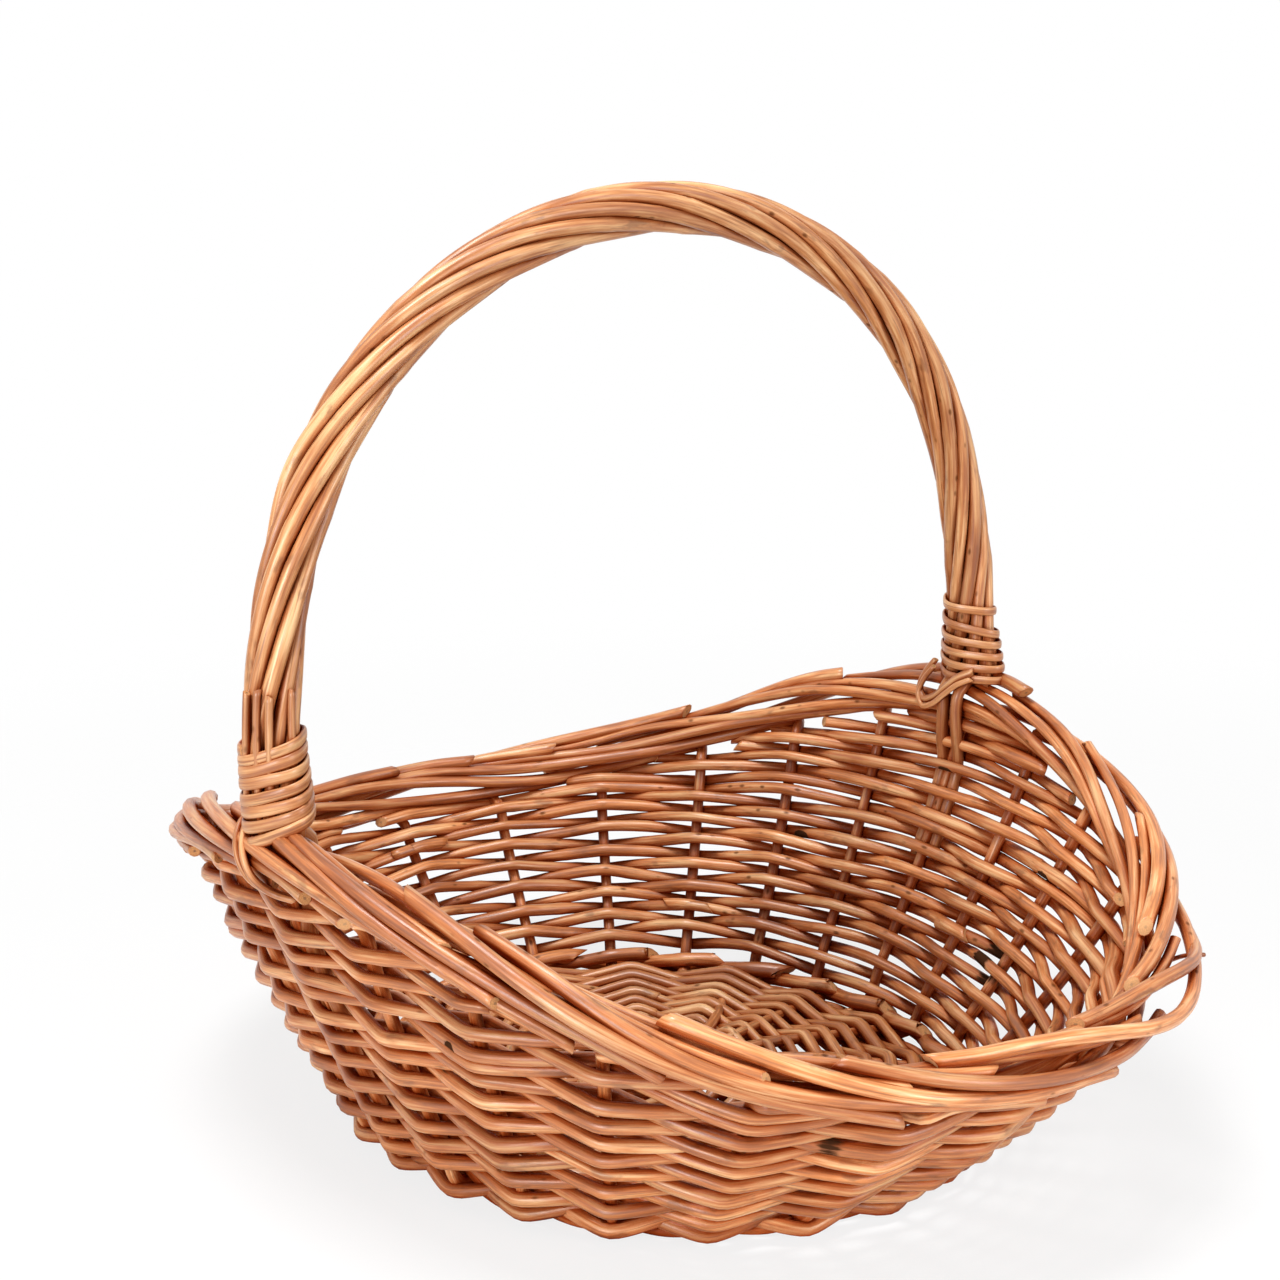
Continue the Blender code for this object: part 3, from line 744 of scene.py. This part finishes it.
class BASKET_OT_base(bpy.types.Operator):
    """Lay the foot rod, the crossed base sticks and the two base weavers"""

    bl_idname = "basket.base"
    bl_label = "Basket base"

    def execute(self, context):
        form, chance = setup(1)
        self.foot(form, chance)
        courses, rays = self.sticks(form)
        for index, course in enumerate(courses):
            line = flowing(course)
            line[:, 2] += ripple(runs_of(line), chance, *STICK_BENDS)
            stick = Bundle(chance)
            stick.rod(line, taper(line, form.stick_r * 1.02, form.stick_r * 0.95, chance))
            stick.piece("base_stick_%d" % (index + 1), "willow_side", "pale")
        for strand, letter in enumerate("ab"):
            weave = Bundle(chance)
            self.weaver(weave, form, chance, rays, strand)
            weave.piece("base_weaver_" + letter, "willow_base", "green")
        return {'FINISHED'}

    @staticmethod
    def foot(form, chance):
        """Two strands twined round each other under the base edge."""
        foot = Bundle(chance)
        twine_r = form.foot_r - FOOT_STRAND_ROOM
        for strand in (0, 1):
            n = np.arange(0.3 + strand, STAKES + 0.5 + strand, 1 / 12)
            t = form.spot(n)
            turn = math.pi * n + strand * math.pi
            out = unit(form.base_point(t, 1, 0) - form.base_point(t, 0, 0))
            line = form.base_point(t, FOOT_SHARE, form.foot_r) + out * (twine_r * np.cos(turn))[:, None]
            line[:, 2] += twine_r * np.sin(turn)
            line = flowing(line)
            radius = taper(line, FOOT_STRAND_R * 1.03, FOOT_STRAND_R * 0.97, chance)
            foot.rod(line, np.minimum(radius, FOOT_STRAND_ROOM - HAIR))
        foot.piece("foot_rod", "willow_side")

    @staticmethod
    def sticks(form):
        """Courses of the eight base sticks, and the ray from the cross to the edge at each of their ends."""
        s = form.s
        gap = STAKES / STICK_ENDS
        quarter = STICK_ENDS // 4
        lift = form.stick_r + s.seat / 2
        table = []
        for k in range(quarter):
            first = (k + STICK_ENDS - quarter // 2) % STICK_ENDS
            second = (STICK_ENDS // 2 - 1 - first) % STICK_ENDS
            table.append((first, second, 0, k - (quarter - 1) / 2, lift))
        for k in range(quarter):
            first = quarter // 2 + k
            table.append((first, STICK_ENDS - 1 - first, 1, (quarter - 1) / 2 - k, -lift))
        courses, rays = [], {}
        for first, second, axis, place, rise in table:
            start, end = (form.base_point(form.spot(gap / 2 + gap * m), STICK_END_SHARE, STICK_Z)
                          for m in (first, second))
            marks = []
            for way in (1, -1):
                for reach, up in ((s.slath_arm, 0), (s.slath_arm - s.slath_spacing, rise)):
                    mark = [way * reach, place * s.slath_spacing, STICK_Z + up]
                    if axis:
                        mark[0], mark[1] = mark[1], mark[0]
                    marks.append(np.array(mark) + [s.base_off_x, s.base_off_y, 0])
            courses.append([start, marks[0], marks[1], marks[3], marks[2], end])
            rays[first], rays[second] = (marks[0], start), (marks[2], end)
        return courses, [rays[m] for m in range(STICK_ENDS)]

    def weaver(self, weave, form, chance, rays, strand):
        """Rods of one strand, woven end to end over and under the sticks from the cross to the base edge."""
        first, last = BASE_WEAVE_SHARES
        rows = int((last - first) * form.s.base_width / 2 / (form.s.base_weaver - BASE_SQUEEZE))
        half = STICK_ENDS // 2
        grid = np.linspace(first, last + PAST_BASE_WEAVE, 30)
        table = np.array([[self.share_at(form, ray, share) for share in grid] for ray in rays])
        cuts, finish_at = [strand * half], half * (rows + strand)
        while cuts[-1] < finish_at - 40:
            cuts.append(cuts[-1] + 2 * int(chance.integers(13, 19)))
        cuts.append(finish_at)
        for start, stop in zip(cuts, cuts[1:]):
            n = np.arange(start - 0.3, stop + 0.25, 1 / 12)
            share = first + (last - first) * np.clip(n / half - strand, 0, rows) / rows
            low = np.floor(n).astype(int)
            a = self.ray_points(table, grid, low % STICK_ENDS, share)
            b = self.ray_points(table, grid, (low + 1) % STICK_ENDS, share)
            line = a + (b - a) * (n - low)[:, None]
            radius = form.base_weaver_r * chance.uniform(0.9, 1.1)
            side = kinked(n + strand, BASE_TIGHTNESS)
            line[:, 2] = STICK_Z - side * (form.stick_r + radius - STICK_GRIP)
            line = flowing(line, BASE_STEP)
            s = runs_of(line)
            line[:, 2] += ripple(s, chance, *BASE_BENDS)
            radii = taper(line, radius * 1.12, radius * 0.92, chance)
            tone = np.clip(chance.uniform(0.1, 0.9) + ripple(s, chance, 0.3, 0.12), 0, 1)
            weave.rod(line, radii, sides=THIN_SIDES, tone=tone)

    @staticmethod
    def share_at(form, ray, share):
        """Place on a ray at a share of the way to the base edge, found by halving."""
        low, high = 0.0, 1.3
        for _ in range(30):
            middle = (low + high) / 2
            point = ray[0] + (ray[1] - ray[0]) * middle
            reach = math.hypot((point[0] - form.s.base_off_x) * 2 / form.s.base_length,
                               (point[1] - form.s.base_off_y) * 2 / form.s.base_width)
            low, high = (middle, high) if reach < share else (low, middle)
        return ray[0] + (ray[1] - ray[0]) * low

    @staticmethod
    def ray_points(table, grid, which, share):
        """Places at the shares, each on its own ray."""
        made = np.empty((len(share), 3))
        for m in range(STICK_ENDS):
            mine = which == m
            for axis in range(3):
                made[mine, axis] = np.interp(share[mine], grid, table[m, :, axis])
        return made


class BASKET_OT_stakes(bpy.types.Operator):
    """Set up the stakes and roll their ends into the border"""

    bl_idname = "basket.stakes"
    bl_label = "Stakes and border"

    wall_shares = (0.17, 0.34, 0.51, 0.68, 0.84, 1)
    bend_length = 0.02
    most_swell_middle, most_swell_late, tip_lift = 0.0010, 0.0016, 0.0007
    laid_length, most_laid_swell = 3.9, 0.0014
    laid_from_degrees, laid_roll_degrees = -262, (125, 165)
    twig_place, twig_reach, twig_rise = 1.9, (0.0035, 0.0085, 0.0006), 0.0006
    twig_r, twig_step = 0.0005, 0.0006

    def execute(self, context):
        form, chance = setup(2)
        for n in range(STAKES):
            line = flowing(self.wall_points(form, n) + self.border_points(form, chance, n))
            s = runs_of(line)
            past = s - form.slant(float(form.spot(n)))
            line[:, 2] += ripple(s, chance, *STAKE_BENDS) * eased(s / self.bend_length)
            thick = chance.uniform(0.92, 1.07)
            radius = form.stake_r + (form.border_r - form.stake_r) * eased(past / self.bend_length)
            radius = radius * thick * (1 + ripple(s, chance, *SWELLS))
            radius = radius * (1 - chance.uniform(0.12, 0.34) * eased(past / past[-1]))
            strand = Bundle(chance)
            strand.rod(line, radius, slope=(0.3, 0.9), around=bark_left(form, line))
            strand.piece("stake_%02d" % (n + 1), "willow_border")
            if n not in BARE_STAKES:
                self.laid_rod(form, chance, n)
        self.twig(form, chance)
        return {'FINISHED'}

    def wall_points(self, form, n):
        """Points of a stake from its butt under the base edge up the wall to its bend."""
        t = float(form.spot(n))
        edge = form.base_point(t, 1, BASE_EDGE_Z)
        inward = unit(form.base_point(t, 0, BASE_EDGE_Z) - edge)
        top = 1 - (form.ring_rise + form.s.border_sag + form.s.stake * 1.5) / float(form.slant(t))
        walls = [form.wall(t, top * share) for share in self.wall_shares]
        bend = form.border_point(n + 0.07, np.float64(-math.pi / 2)) - [0, 0, form.stake_r * 0.6]
        return [edge + inward * form.s.butt, edge, *walls, bend]

    def border_points(self, form, chance, n):
        """Points of the same rod rolled along the rim: under it, up its inside and over its top."""
        first, last = BORDER_RUN
        last += chance.uniform(-0.25, 0.45)
        along = np.linspace(first, last, 17)
        inside = (along - first) / (last - first)
        slack = sway(along, chance, (0.08, 0.30), (1.0, 2.4))
        angle = -math.pi / 2 - form.roll * along + slack * np.sin(math.pi * inside)
        swell = self.most_swell_middle * chance.uniform(0, 1) * hump(inside, chance.uniform(0.3, 0.6), 0.16)
        swell = swell + self.most_swell_late * chance.uniform(0, 1) ** 2 * hump(along, 3.5, 0.55)
        swell = swell + self.tip_lift * eased((inside - 0.9) / 0.1)
        return list(form.border_point(n + along, angle, swell))

    def laid_rod(self, form, chance, n):
        """Thick rod laid over the border from its inner top to its outer side, its butt left to see."""
        first, last = chance.uniform(0, 0.5), self.laid_length + chance.uniform(-0.5, 0.5)
        along = np.linspace(first, last, 14)
        inside = (along - first) / (last - first)
        slack = sway(along, chance, (0.05, 0.24), (1.0, 2.2))
        angle = np.radians(self.laid_from_degrees - chance.uniform(*self.laid_roll_degrees) * inside) + slack
        stand = chance.uniform(0, 1) ** 2 * (1 - eased(inside / 0.25))
        out = 1.25 + stand - 1.35 * eased((inside - 0.12) / 0.6) + 0.8 * eased((inside - 0.88) / 0.12)
        loose = self.most_laid_swell * chance.uniform(0, 1) + LOOSE_RODS.get(n, 0)
        swell = form.border_r * out + loose * np.sin(math.pi * inside) ** 2
        line = flowing(form.border_point(n + along, angle, swell))
        s = runs_of(line)
        radius = form.border_r * chance.uniform(0.93, 1.1) * (1 - chance.uniform(0.08, 0.3) * s / s[-1])
        laid = Bundle(chance)
        laid.rod(line, radius * (1 + ripple(s, chance, *LAID_SWELLS)), slope=(0.9, 0.5))
        laid.piece("laid_rod_%02d" % (n + 1), "willow_border", stands=False)

    def twig(self, form, chance):
        """Thin side twig that sticks out of the border near its right end."""
        root = form.border_point(self.twig_place, np.float64(-0.3), -0.002)
        tip = root + self.twig_reach
        middle = (root + tip) / 2 + [0, 0, self.twig_rise]
        twig = Bundle(chance)
        twig.rod(flowing([root, middle, tip], self.twig_step), self.twig_r, sides=THIN_SIDES, tone=0.2)
        twig.piece("border_twig", "willow_border", stands=False)


def weave_rod(bundle, form, chance, start, stop, level, side, thick, past=(0.3, 0.3),
              lifts=(0.0012, 0.0008)):
    """One rod woven from one stake place to another and a little past them, with its ends inside.

    level is its row at stake place 0. With an even side it goes inside the even
    stakes, and with an odd side outside them.
    """
    n = np.arange(start - past[0], stop + past[1], 1 / 14)
    lift = lifts[0] * eased((start + 0.25 - n) / (past[0] + 0.25))
    lift = lift + lifts[1] * eased((n - stop + 0.25) / (past[1] + 0.25))
    run = FIRST_ROW + (n / HALF_ROUND + level) * form.s.row_pitch
    off = -kinked(n + side, WALL_TIGHTNESS) * (form.stake_r + thick + WEAVE_GAP)
    line = flowing(form.on_wall(n, settled(form.spot(n), run), off - lift), WALL_STEP)
    s = runs_of(line)
    line[:, 2] += ripple(s, chance, *WEAVE_BENDS)
    radius = taper(line, thick, thick, chance) * (1 + ripple(s, chance, *WEAVE_SWELLS))
    bark = None
    if chance.uniform() < 0.35:
        bark = 1.4 * hump(runs_of(line), chance.uniform(0.1, 0.9) * s[-1], chance.uniform(0.0015, 0.004))
    tone = np.clip(chance.uniform(0.25, 0.75) + ripple(s, chance, 0.42, 0.16), 0, 1)
    bundle.rod(line, radius, bark=bark, slope=(0.8, 0.8), tone=tone, around=bark_left(form, line))


class BASKET_OT_side_weave(bpy.types.Operator):
    """Weave the two strands that chase each other up the wall"""

    bl_idname = "basket.side_weave"
    bl_label = "Side weave"

    butt_r, butt_run, butt_rise, butt_tuck, butt_climb = 0.00175, 0.0010, 0.0016, 0.0012, 0.0009

    def execute(self, context):
        form, chance = setup(3)
        for k in range(STAKES):
            self.upsett(form, chance, k)
        span = 2 * round(HALF_ROUND * form.rows / SIDE_RODS / 2)
        for strand, letter in enumerate("ab"):
            end = HALF_ROUND * (form.rows + strand)
            for index in range(SIDE_RODS):
                start = strand * (HALF_ROUND + 1) + index * span
                stop = end if index == SIDE_RODS - 1 else min(start + span, end)
                weave = Bundle(chance)
                weave_rod(weave, form, chance, start, stop, -strand, strand, form.weaver_r)
                weave.piece("side_weaver_%s%d" % (letter, index + 1), "willow_side")
        return {'FINISHED'}

    def upsett(self, form, chance, k):
        """Thick butt that starts the side weave at stake k, with its cut end inside."""
        n = np.arange(k - chance.uniform(0.40, 0.62), k + 1.8, 1 / 12)
        past = eased((k + 0.15 - n) / 0.7)
        radius = self.butt_r * chance.uniform(0.92, 1.08)
        run = self.butt_run + self.butt_rise * past + self.butt_climb * eased((n - k - 1) / 0.8)
        off = -kinked(n - k) * (form.stake_r + radius) - self.butt_tuck * past
        line = flowing(form.on_wall(n, run, off))
        butt = Bundle(chance)
        butt.rod(line, taper(line, radius * 1.12, radius * 0.78, chance), slope=(1.5, 0.3))
        butt.piece("upsett_rod_%02d" % (k + 1), "willow_side", stands=False)


class BASKET_OT_packing(bpy.types.Operator):
    """Fill the wall beside the handle with short rows"""

    bl_idname = "basket.packing"
    bl_label = "Packing rows"

    fewest_places = 30
    nearer_border = 0.0008

    def execute(self, context):
        form, chance = setup(4)
        top = form.rows - 1
        for side, middle, odd in (("right", STAKES // 4, 1), ("left", STAKES * 3 // 4, 0)):
            fine = np.arange(middle - HALF_ROUND / 2 + 0.6, middle + HALF_ROUND / 2 - 0.6, 0.05)
            rows = Bundle(chance)
            level = 1
            while True:
                run = FIRST_ROW + (top + np.mod(fine, HALF_ROUND) / HALF_ROUND + level) * form.s.row_pitch
                fits = fine[run < form.slant(form.spot(fine)) - BORDER_CLEAR + self.nearer_border]
                if len(fits) < self.fewest_places:
                    break
                back = chance.uniform(-0.1, 0.45, 2)
                weave_rod(rows, form, chance, fits[0] + back[0], fits[-1] - back[1],
                          top + level - middle // HALF_ROUND, level + odd,
                          form.weaver_r * chance.uniform(0.95, 1.1), (0, 0), (0, 0))
                level += 1
            rows.piece("packing_rod_" + side, "willow_side")
        return {'FINISHED'}


class BASKET_OT_handle(bpy.types.Operator):
    """Bow the bundle of twisted rods over the basket, with its legs down the wall"""

    bl_idname = "basket.handle"
    bl_label = "Handle"

    core_off, core_radii = 0.0015, (0.0013, 0.0012)
    firm_length, pale_from, pale_over = 0.03, 0.004, 0.012
    leg_steps = ((0.22, 0.55), (0.38, 0.1), (0.6, 0.0), (0.8, 0.0), (1.0, 0.0))
    leg_start, leg_bend, leg_apart = (0.0004, 0.0022), -0.0012, 0.0006

    def execute(self, context):
        form, chance = setup(5)
        marks, inner, runs = form.handle_marks()
        share = runs / runs[-1]
        foot = np.minimum(runs, runs[-1] - runs)
        splay = splayed(foot)

        def beside(aside, depth):
            return marks + [1.0, 0, 0] * aside[:, None] + inner * depth[:, None]

        core = Bundle(chance)
        for k in range(CORE_RODS):
            angle = 2 * math.pi * (k / CORE_RODS + HANDLE_TURNS * share)
            line = beside(self.core_off * np.sin(angle) * splay ** 1.5, self.core_off * np.cos(angle))
            core.rod(line, taper(line, *self.core_radii, chance), tone=0.1)
        for k in range(HANDLE_RING):
            start = 2 * math.pi * (k + 0.5) / HANDLE_RING
            wander = ripple(runs, chance, 0.07, 0.12) * eased(foot / self.firm_length)
            angle = start + 2 * math.pi * HANDLE_TURNS * share + wander
            loose = chance.uniform(0, 0.22) * hump(share, chance.uniform(0.1, 0.9), 0.03)
            aside = form.handle_ring_r * np.sin(angle) * (splay + loose)
            aside = aside + ripple(runs, chance, *HANDLE_SIDE_BENDS)
            depth = form.handle_ring_r * np.cos(angle) * (1 + loose)
            line = beside(aside, depth + ripple(runs, chance, *HANDLE_DEPTH_BENDS))
            if k in (0, HANDLE_RING - 1):
                line = np.concatenate([self.leg(form, line[0], -1)[::-1], line])
            if k in (HANDLE_RING // 2 - 1, HANDLE_RING // 2):
                line = np.concatenate([line, self.leg(form, line[-1], 1)])
            line = flowing(line)
            tone = np.clip(chance.uniform(0.3, 0.9) + ripple(runs_of(line), chance, 0.25, 0.15), 0, 1)
            # Painted shade: the rods' tone fades to its darkest on the legs under the border, where shade
            # falls
            tone = tone * eased((line[:, 2] - form.s.rim_high + self.pale_from) / self.pale_over)
            ends = [form.handle_r * chance.uniform(1.04, 1.10), form.handle_r * chance.uniform(0.88, 0.95)]
            if k % 2:
                ends.reverse()
            bundle = Bundle(chance) if k in HANDLE_SEEN else core
            bundle.rod(line, taper(line, *ends, chance), slope=(0.5, 0.5), tone=tone)
            if k in HANDLE_SEEN:
                bundle.piece("handle_rod_%d" % (HANDLE_SEEN.index(k) + 1), "willow_handle")
        core.piece("handle_core", "willow_handle")
        return {'FINISHED'}

    def leg(self, form, foot, way):
        """Points of a leg from just under its foot down the inside of the wall."""
        t = way * math.pi / 2
        full = float(form.slant(t))
        inset = form.stake_r + 2 * form.weaver_r + 2 * form.s.seat + form.handle_r
        clear = form.border_reach + form.stake_r + form.s.seat + form.handle_r
        y = way * (form.s.rim_width / 2 - clear)
        aside, rise = self.leg_start
        made = [np.array([foot[0] * 0.9, y + way * aside, form.s.rim_high + rise]),
                np.array([foot[0] * 0.8, y, form.s.rim_high + self.leg_bend])]
        for share, off in self.leg_steps:
            u = (full - form.border_rise - form.s.leg * share) / full
            point = form.wall(t, u) - form.outward(t, u) * inset * off
            x = foot[0] * 0.7 + self.leg_apart * np.sign(foot[0])
            made.append(np.array([x, point[1], point[2]]))
        return made


class BASKET_OT_bindings(bpy.types.Operator):
    """Wind split willow round both feet of the handle"""

    bl_idname = "basket.bindings"
    bl_label = "Bindings"

    flatness, places_a_loop, flare_height, clear = 0.42, 44, 0.020, 0.0001
    uneven, up_bends = (-0.0004, 0.0004), (0.00022, 5.0)
    tail_degrees = (95, 55, 25, 0, -28, -58, -80)
    tail_asides = (-0.0048, -0.0036, -0.0016, 0.0002, 0.0020, 0.0045, 0.0085)
    tail_out, tail_up, tail_gap, tail_in, tail_r = 0.0016, 0.0022, 0.00135, 0.0006, 0.00074
    ends_from, ends_clear, ends_degrees, ends_step = 0.004, 0.0004, -37.6, 0.001
    standing_ends = ((-48, 0.0292, 0.00085), (-22, 0.0300, 0.0008), (2, 0.0288, 0.0009),
                     (46, 0.0296, 0.0008))
    knot_points = ((0.0062, -0.0056, 0.0083), (0.0034, -0.0072, 0.0068), (-0.0006, -0.0080, 0.0036),
                   (-0.0046, -0.0084, 0.0004), (-0.0082, -0.0082, -0.0006), (-0.0102, -0.0076, 0.0016),
                   (-0.0092, -0.0068, 0.0056), (-0.0066, -0.0058, 0.0094))
    knot_radii, second_off, second_r = (0.0012, 0.0008), (0.0004, -0.0010, -0.0016), 0.00075

    def execute(self, context):
        form, chance = setup(6)
        marks, _, runs = form.handle_marks(400)
        wind = Bundle(chance)
        self.winding(wind, form, chance, marks, runs, -1, 0.28, 0.0020, 1.0, ((0, 7), (0.0012, 0.0192)))
        self.tail(form, wind)
        self.ends(form, wind, marks, runs)
        wind.piece("handle_binding_left", "willow_split", "pale")
        wind = Bundle(chance)
        self.winding(wind, form, chance, marks, runs, 1, 0.0, 0.0012, 0.8,
                     ((0, 4.2, 5, 6), (0.0004, 0.0132, 0.0178, 0.0224)))
        self.knot(form, wind)
        wind.piece("handle_binding_right", "willow_split", "pale")
        return {'FINISHED'}

    def winding(self, wind, form, chance, marks, runs, way, slant, flare, wide_share, levels):
        """Flat split rod wound round the foot on one side; levels says how high it is after some loops."""
        half = form.s.binding / 2 * wide_share
        loops = levels[0][-1]
        turn = np.linspace(0, 2 * math.pi * loops, loops * self.places_a_loop)
        loop = turn / (2 * math.pi)
        knots = np.arange(loops + 1)
        jitter = np.interp(loop, knots, chance.uniform(*self.uneven, loops + 1))
        up = np.interp(loop, *levels) + jitter + ripple(turn, chance, *self.up_bends)
        middle = at_runs(marks, runs, up)
        middle[:, 1] *= -way
        middle[:, 0] += flare * (1 - eased(up / self.flare_height))
        off = form.handle_r + half * self.flatness + self.clear
        reach = form.handle_ring_r + off
        wide = form.handle_ring_r * splayed(up) + off
        squarer = 1 + 0.05 * np.cos(4 * turn)
        out = np.stack([np.sin(turn) * wide * squarer, np.cos(turn) * way * reach * squarer, 0 * turn], -1)
        lean = slant + np.interp(loop, knots, chance.uniform(-0.10, 0.10, loops + 1))
        out[:, 2] = lean * (out[:, 0] * 0.6 + out[:, 1] * 0.8)
        normals = unit(np.stack([np.sin(turn) / wide, np.cos(turn) * way / reach, 0 * turn], -1))
        line = middle + out
        wind.rod(line, half * (1 + ripple(runs_of(line), chance, *BINDING_SWELLS)), sides=12,
                 thin=self.flatness, normals=normals, tone=0.5 + ripple(turn, chance, 0.25, 6.0))

    def tail(self, form, wind):
        """Three thin rods side by side, led from the winding over the border's outer side and under it."""
        over = form.ring_reach + form.border_r + self.tail_out
        high = form.ring_rise + form.border_r + self.tail_up
        angle = np.radians(self.tail_degrees)
        for k in range(3):
            aside = np.array(self.tail_asides) + (k - 1) * self.tail_gap
            y = -(form.s.rim_width / 2 + over * np.cos(angle) - self.tail_in * (k == 1))
            line = flowing(np.stack([aside, y, form.s.rim_high + high * np.sin(angle)], -1), FINE_STEP)
            wind.rod(line, self.tail_r, sides=THIN_SIDES, slope=(0.3, 0.8), tone=0.5 + 0.2 * k)

    def ends(self, form, wind, marks, runs):
        """Thin rods caught under the winding, whose ends stand up against the handle."""
        reach = form.handle_ring_r + form.handle_r + self.ends_clear
        for degrees, top, radius in self.standing_ends:
            angle = math.radians(degrees + self.ends_degrees)
            up = np.linspace(self.ends_from, top, 12)
            side = [math.cos(angle), 0, 0] * np.interp(up, (0.0, SPLAY_HEIGHT), (1.25, 1.0))[:, None]
            line = at_runs(marks, runs, up) + (side + [0, math.sin(angle), 0]) * reach
            wind.rod(flowing(line, self.ends_step), radius, sides=THIN_SIDES, slope=(0.3, 0.5), tone=0.3)

    def knot(self, form, wind):
        """Tail of the right winding, led down inside the border and looped back up."""
        line = flowing(np.array(self.knot_points) + [0, form.s.rim_width / 2, form.s.rim_high], FINE_STEP)
        wind.rod(line, np.linspace(*self.knot_radii, len(line)), slope=(0.6, 0.3), tone=0.2)
        wind.rod(line + self.second_off, self.second_r, sides=THIN_SIDES, slope=(0.6, 0.3), tone=0.6)


class BASKET_OT_stage(bpy.types.Operator):
    """Set the pale floor, the soft lights and the camera"""

    bl_idname = "basket.stage"
    bl_label = "Stage"

    def execute(self, context):
        scene = context.scene
        studio = scene.studio_setup
        scene.view_settings.view_transform = 'Standard'
        self.camera(scene, studio)
        self.floor(scene)
        self.room(scene, studio)
        for name, size, place in LIGHTS:
            light = bpy.data.lights.new(name + "_light", 'AREA')
            light.energy, light.size = getattr(studio, name), size
            thing = bpy.data.objects.new(name + "_light", light)
            thing.location = place
            thing.rotation_euler = (Vector(place) - Vector(LIT_PLACE)).to_track_quat('Z', 'Y').to_euler()
            scene.collection.objects.link(thing)
        return {'FINISHED'}

    @staticmethod
    def camera(scene, studio):
        """Camera at the photograph's angle."""
        az, el, roll = studio.azimuth, studio.elevation, studio.roll
        back = Vector((math.sin(az) * math.cos(el), -math.cos(az) * math.cos(el), math.sin(el)))
        right = Vector((math.cos(az), math.sin(az), 0))
        up = back.cross(right)
        side = right * math.cos(roll) + up * math.sin(roll)
        top = up * math.cos(roll) - right * math.sin(roll)
        data = bpy.data.cameras.new("photo_camera")
        data.lens, data.sensor_width = studio.lens, 36
        data.clip_start = 0.01
        camera = bpy.data.objects.new("photo_camera", data)
        place = right * studio.look_side + Vector((0, 0, studio.look_height)) + back * studio.distance
        turn = Matrix((side, top, back)).transposed()
        camera.matrix_world = Matrix.Translation(place) @ turn.to_4x4()
        scene.collection.objects.link(camera)
        scene.camera = camera

    @staticmethod
    def floor(scene):
        """Pale floor that keeps the shadow and fades out into the white room."""
        mesh = bpy.data.meshes.new("floor")
        corners = ((-1, -1), (1, -1), (1, 1), (-1, 1))
        mesh.from_pydata([(x * FLOOR_HALF, y * FLOOR_HALF, 0) for x, y in corners], [], [(0, 1, 2, 3)])
        pale = bpy.data.materials.new("pale_floor")
        nodes = Nodes(pale)
        place = nodes.add('ShaderNodeTexCoord').outputs["Object"]
        away = nodes.add('ShaderNodeVectorMath', ((0, place),), operation='LENGTH').outputs["Value"]
        matt = nodes.add('ShaderNodeBsdfDiffuse', (("Color", (0.86, 0.86, 0.86, 1)),))
        glow = nodes.add('ShaderNodeEmission', (("Color", (1, 1, 1, 1)), ("Strength", 1.0)))
        clear = nodes.add('ShaderNodeBsdfTransparent')
        seen = nodes.add('ShaderNodeLightPath').outputs["Is Camera Ray"]
        shown = nodes.joined(nodes.times(seen, 0.8), matt, glow)
        nodes.finish(nodes.joined(nodes.spread(away, *FLOOR_FADE), shown, clear))
        mesh.materials.append(pale)
        thing = bpy.data.objects.new("floor", mesh)
        scene.collection.objects.link(thing)

    @staticmethod
    def room(scene, studio):
        """Even soft light from all sides, which shows as plain white."""
        scene.world = bpy.data.worlds.new("studio_room")
        nodes = Nodes(scene.world)
        path = nodes.add('ShaderNodeLightPath').outputs
        seen = nodes.arith('MAXIMUM', path["Is Camera Ray"], path["Is Glossy Ray"])
        seen = nodes.arith('MAXIMUM', seen, path["Is Transmission Ray"])
        soft = nodes.add('ShaderNodeBackground', (("Color", (1, 0.985, 0.97, 1)), ("Strength", studio.room)))
        white = nodes.add('ShaderNodeBackground', (("Color", (1, 1, 1, 1)), ("Strength", 1.0)))
        nodes.finish(nodes.joined(seen, soft, white), 'ShaderNodeOutputWorld')


class BASKET_PT_panel(bpy.types.Panel):
    """Sizes, finish and steps of the basket"""

    bl_idname = "BASKET_PT_panel"
    bl_label = "Willow basket"
    bl_space_type = 'VIEW_3D'
    bl_region_type = 'UI'
    bl_category = "Basket"

    def draw(self, context):
        layout = self.layout
        for owner in (context.scene.basket_sizes, context.scene.willow_finish, context.scene.studio_setup):
            box = layout.box()
            for key in owner.__annotations__:
                box.prop(owner, key)
        for step in STEPS:
            layout.operator(step.bl_idname)


STEPS = (BASKET_OT_stage, BASKET_OT_base, BASKET_OT_stakes, BASKET_OT_side_weave, BASKET_OT_packing,
         BASKET_OT_handle, BASKET_OT_bindings)
GROUPS = (BasketSizes, WillowFinish, StudioSetup)


def register():
    """Add the sizes, steps and panel to Blender."""
    for kind in (*GROUPS, *STEPS, BASKET_PT_panel):
        bpy.utils.register_class(kind)
    bpy.types.Scene.basket_sizes = PointerProperty(type=BasketSizes)
    bpy.types.Scene.willow_finish = PointerProperty(type=WillowFinish)
    bpy.types.Scene.studio_setup = PointerProperty(type=StudioSetup)


def unregister():
    """Take them out again."""
    del bpy.types.Scene.studio_setup
    del bpy.types.Scene.willow_finish
    del bpy.types.Scene.basket_sizes
    for kind in reversed((*GROUPS, *STEPS, BASKET_PT_panel)):
        bpy.utils.unregister_class(kind)


def main():
    """Make the whole scene."""
    register()
    bpy.ops.basket.stage()
    bpy.ops.basket.base()
    bpy.ops.basket.stakes()
    bpy.ops.basket.side_weave()
    bpy.ops.basket.packing()
    bpy.ops.basket.handle()
    bpy.ops.basket.bindings()


if __name__ == "__main__":
    main()
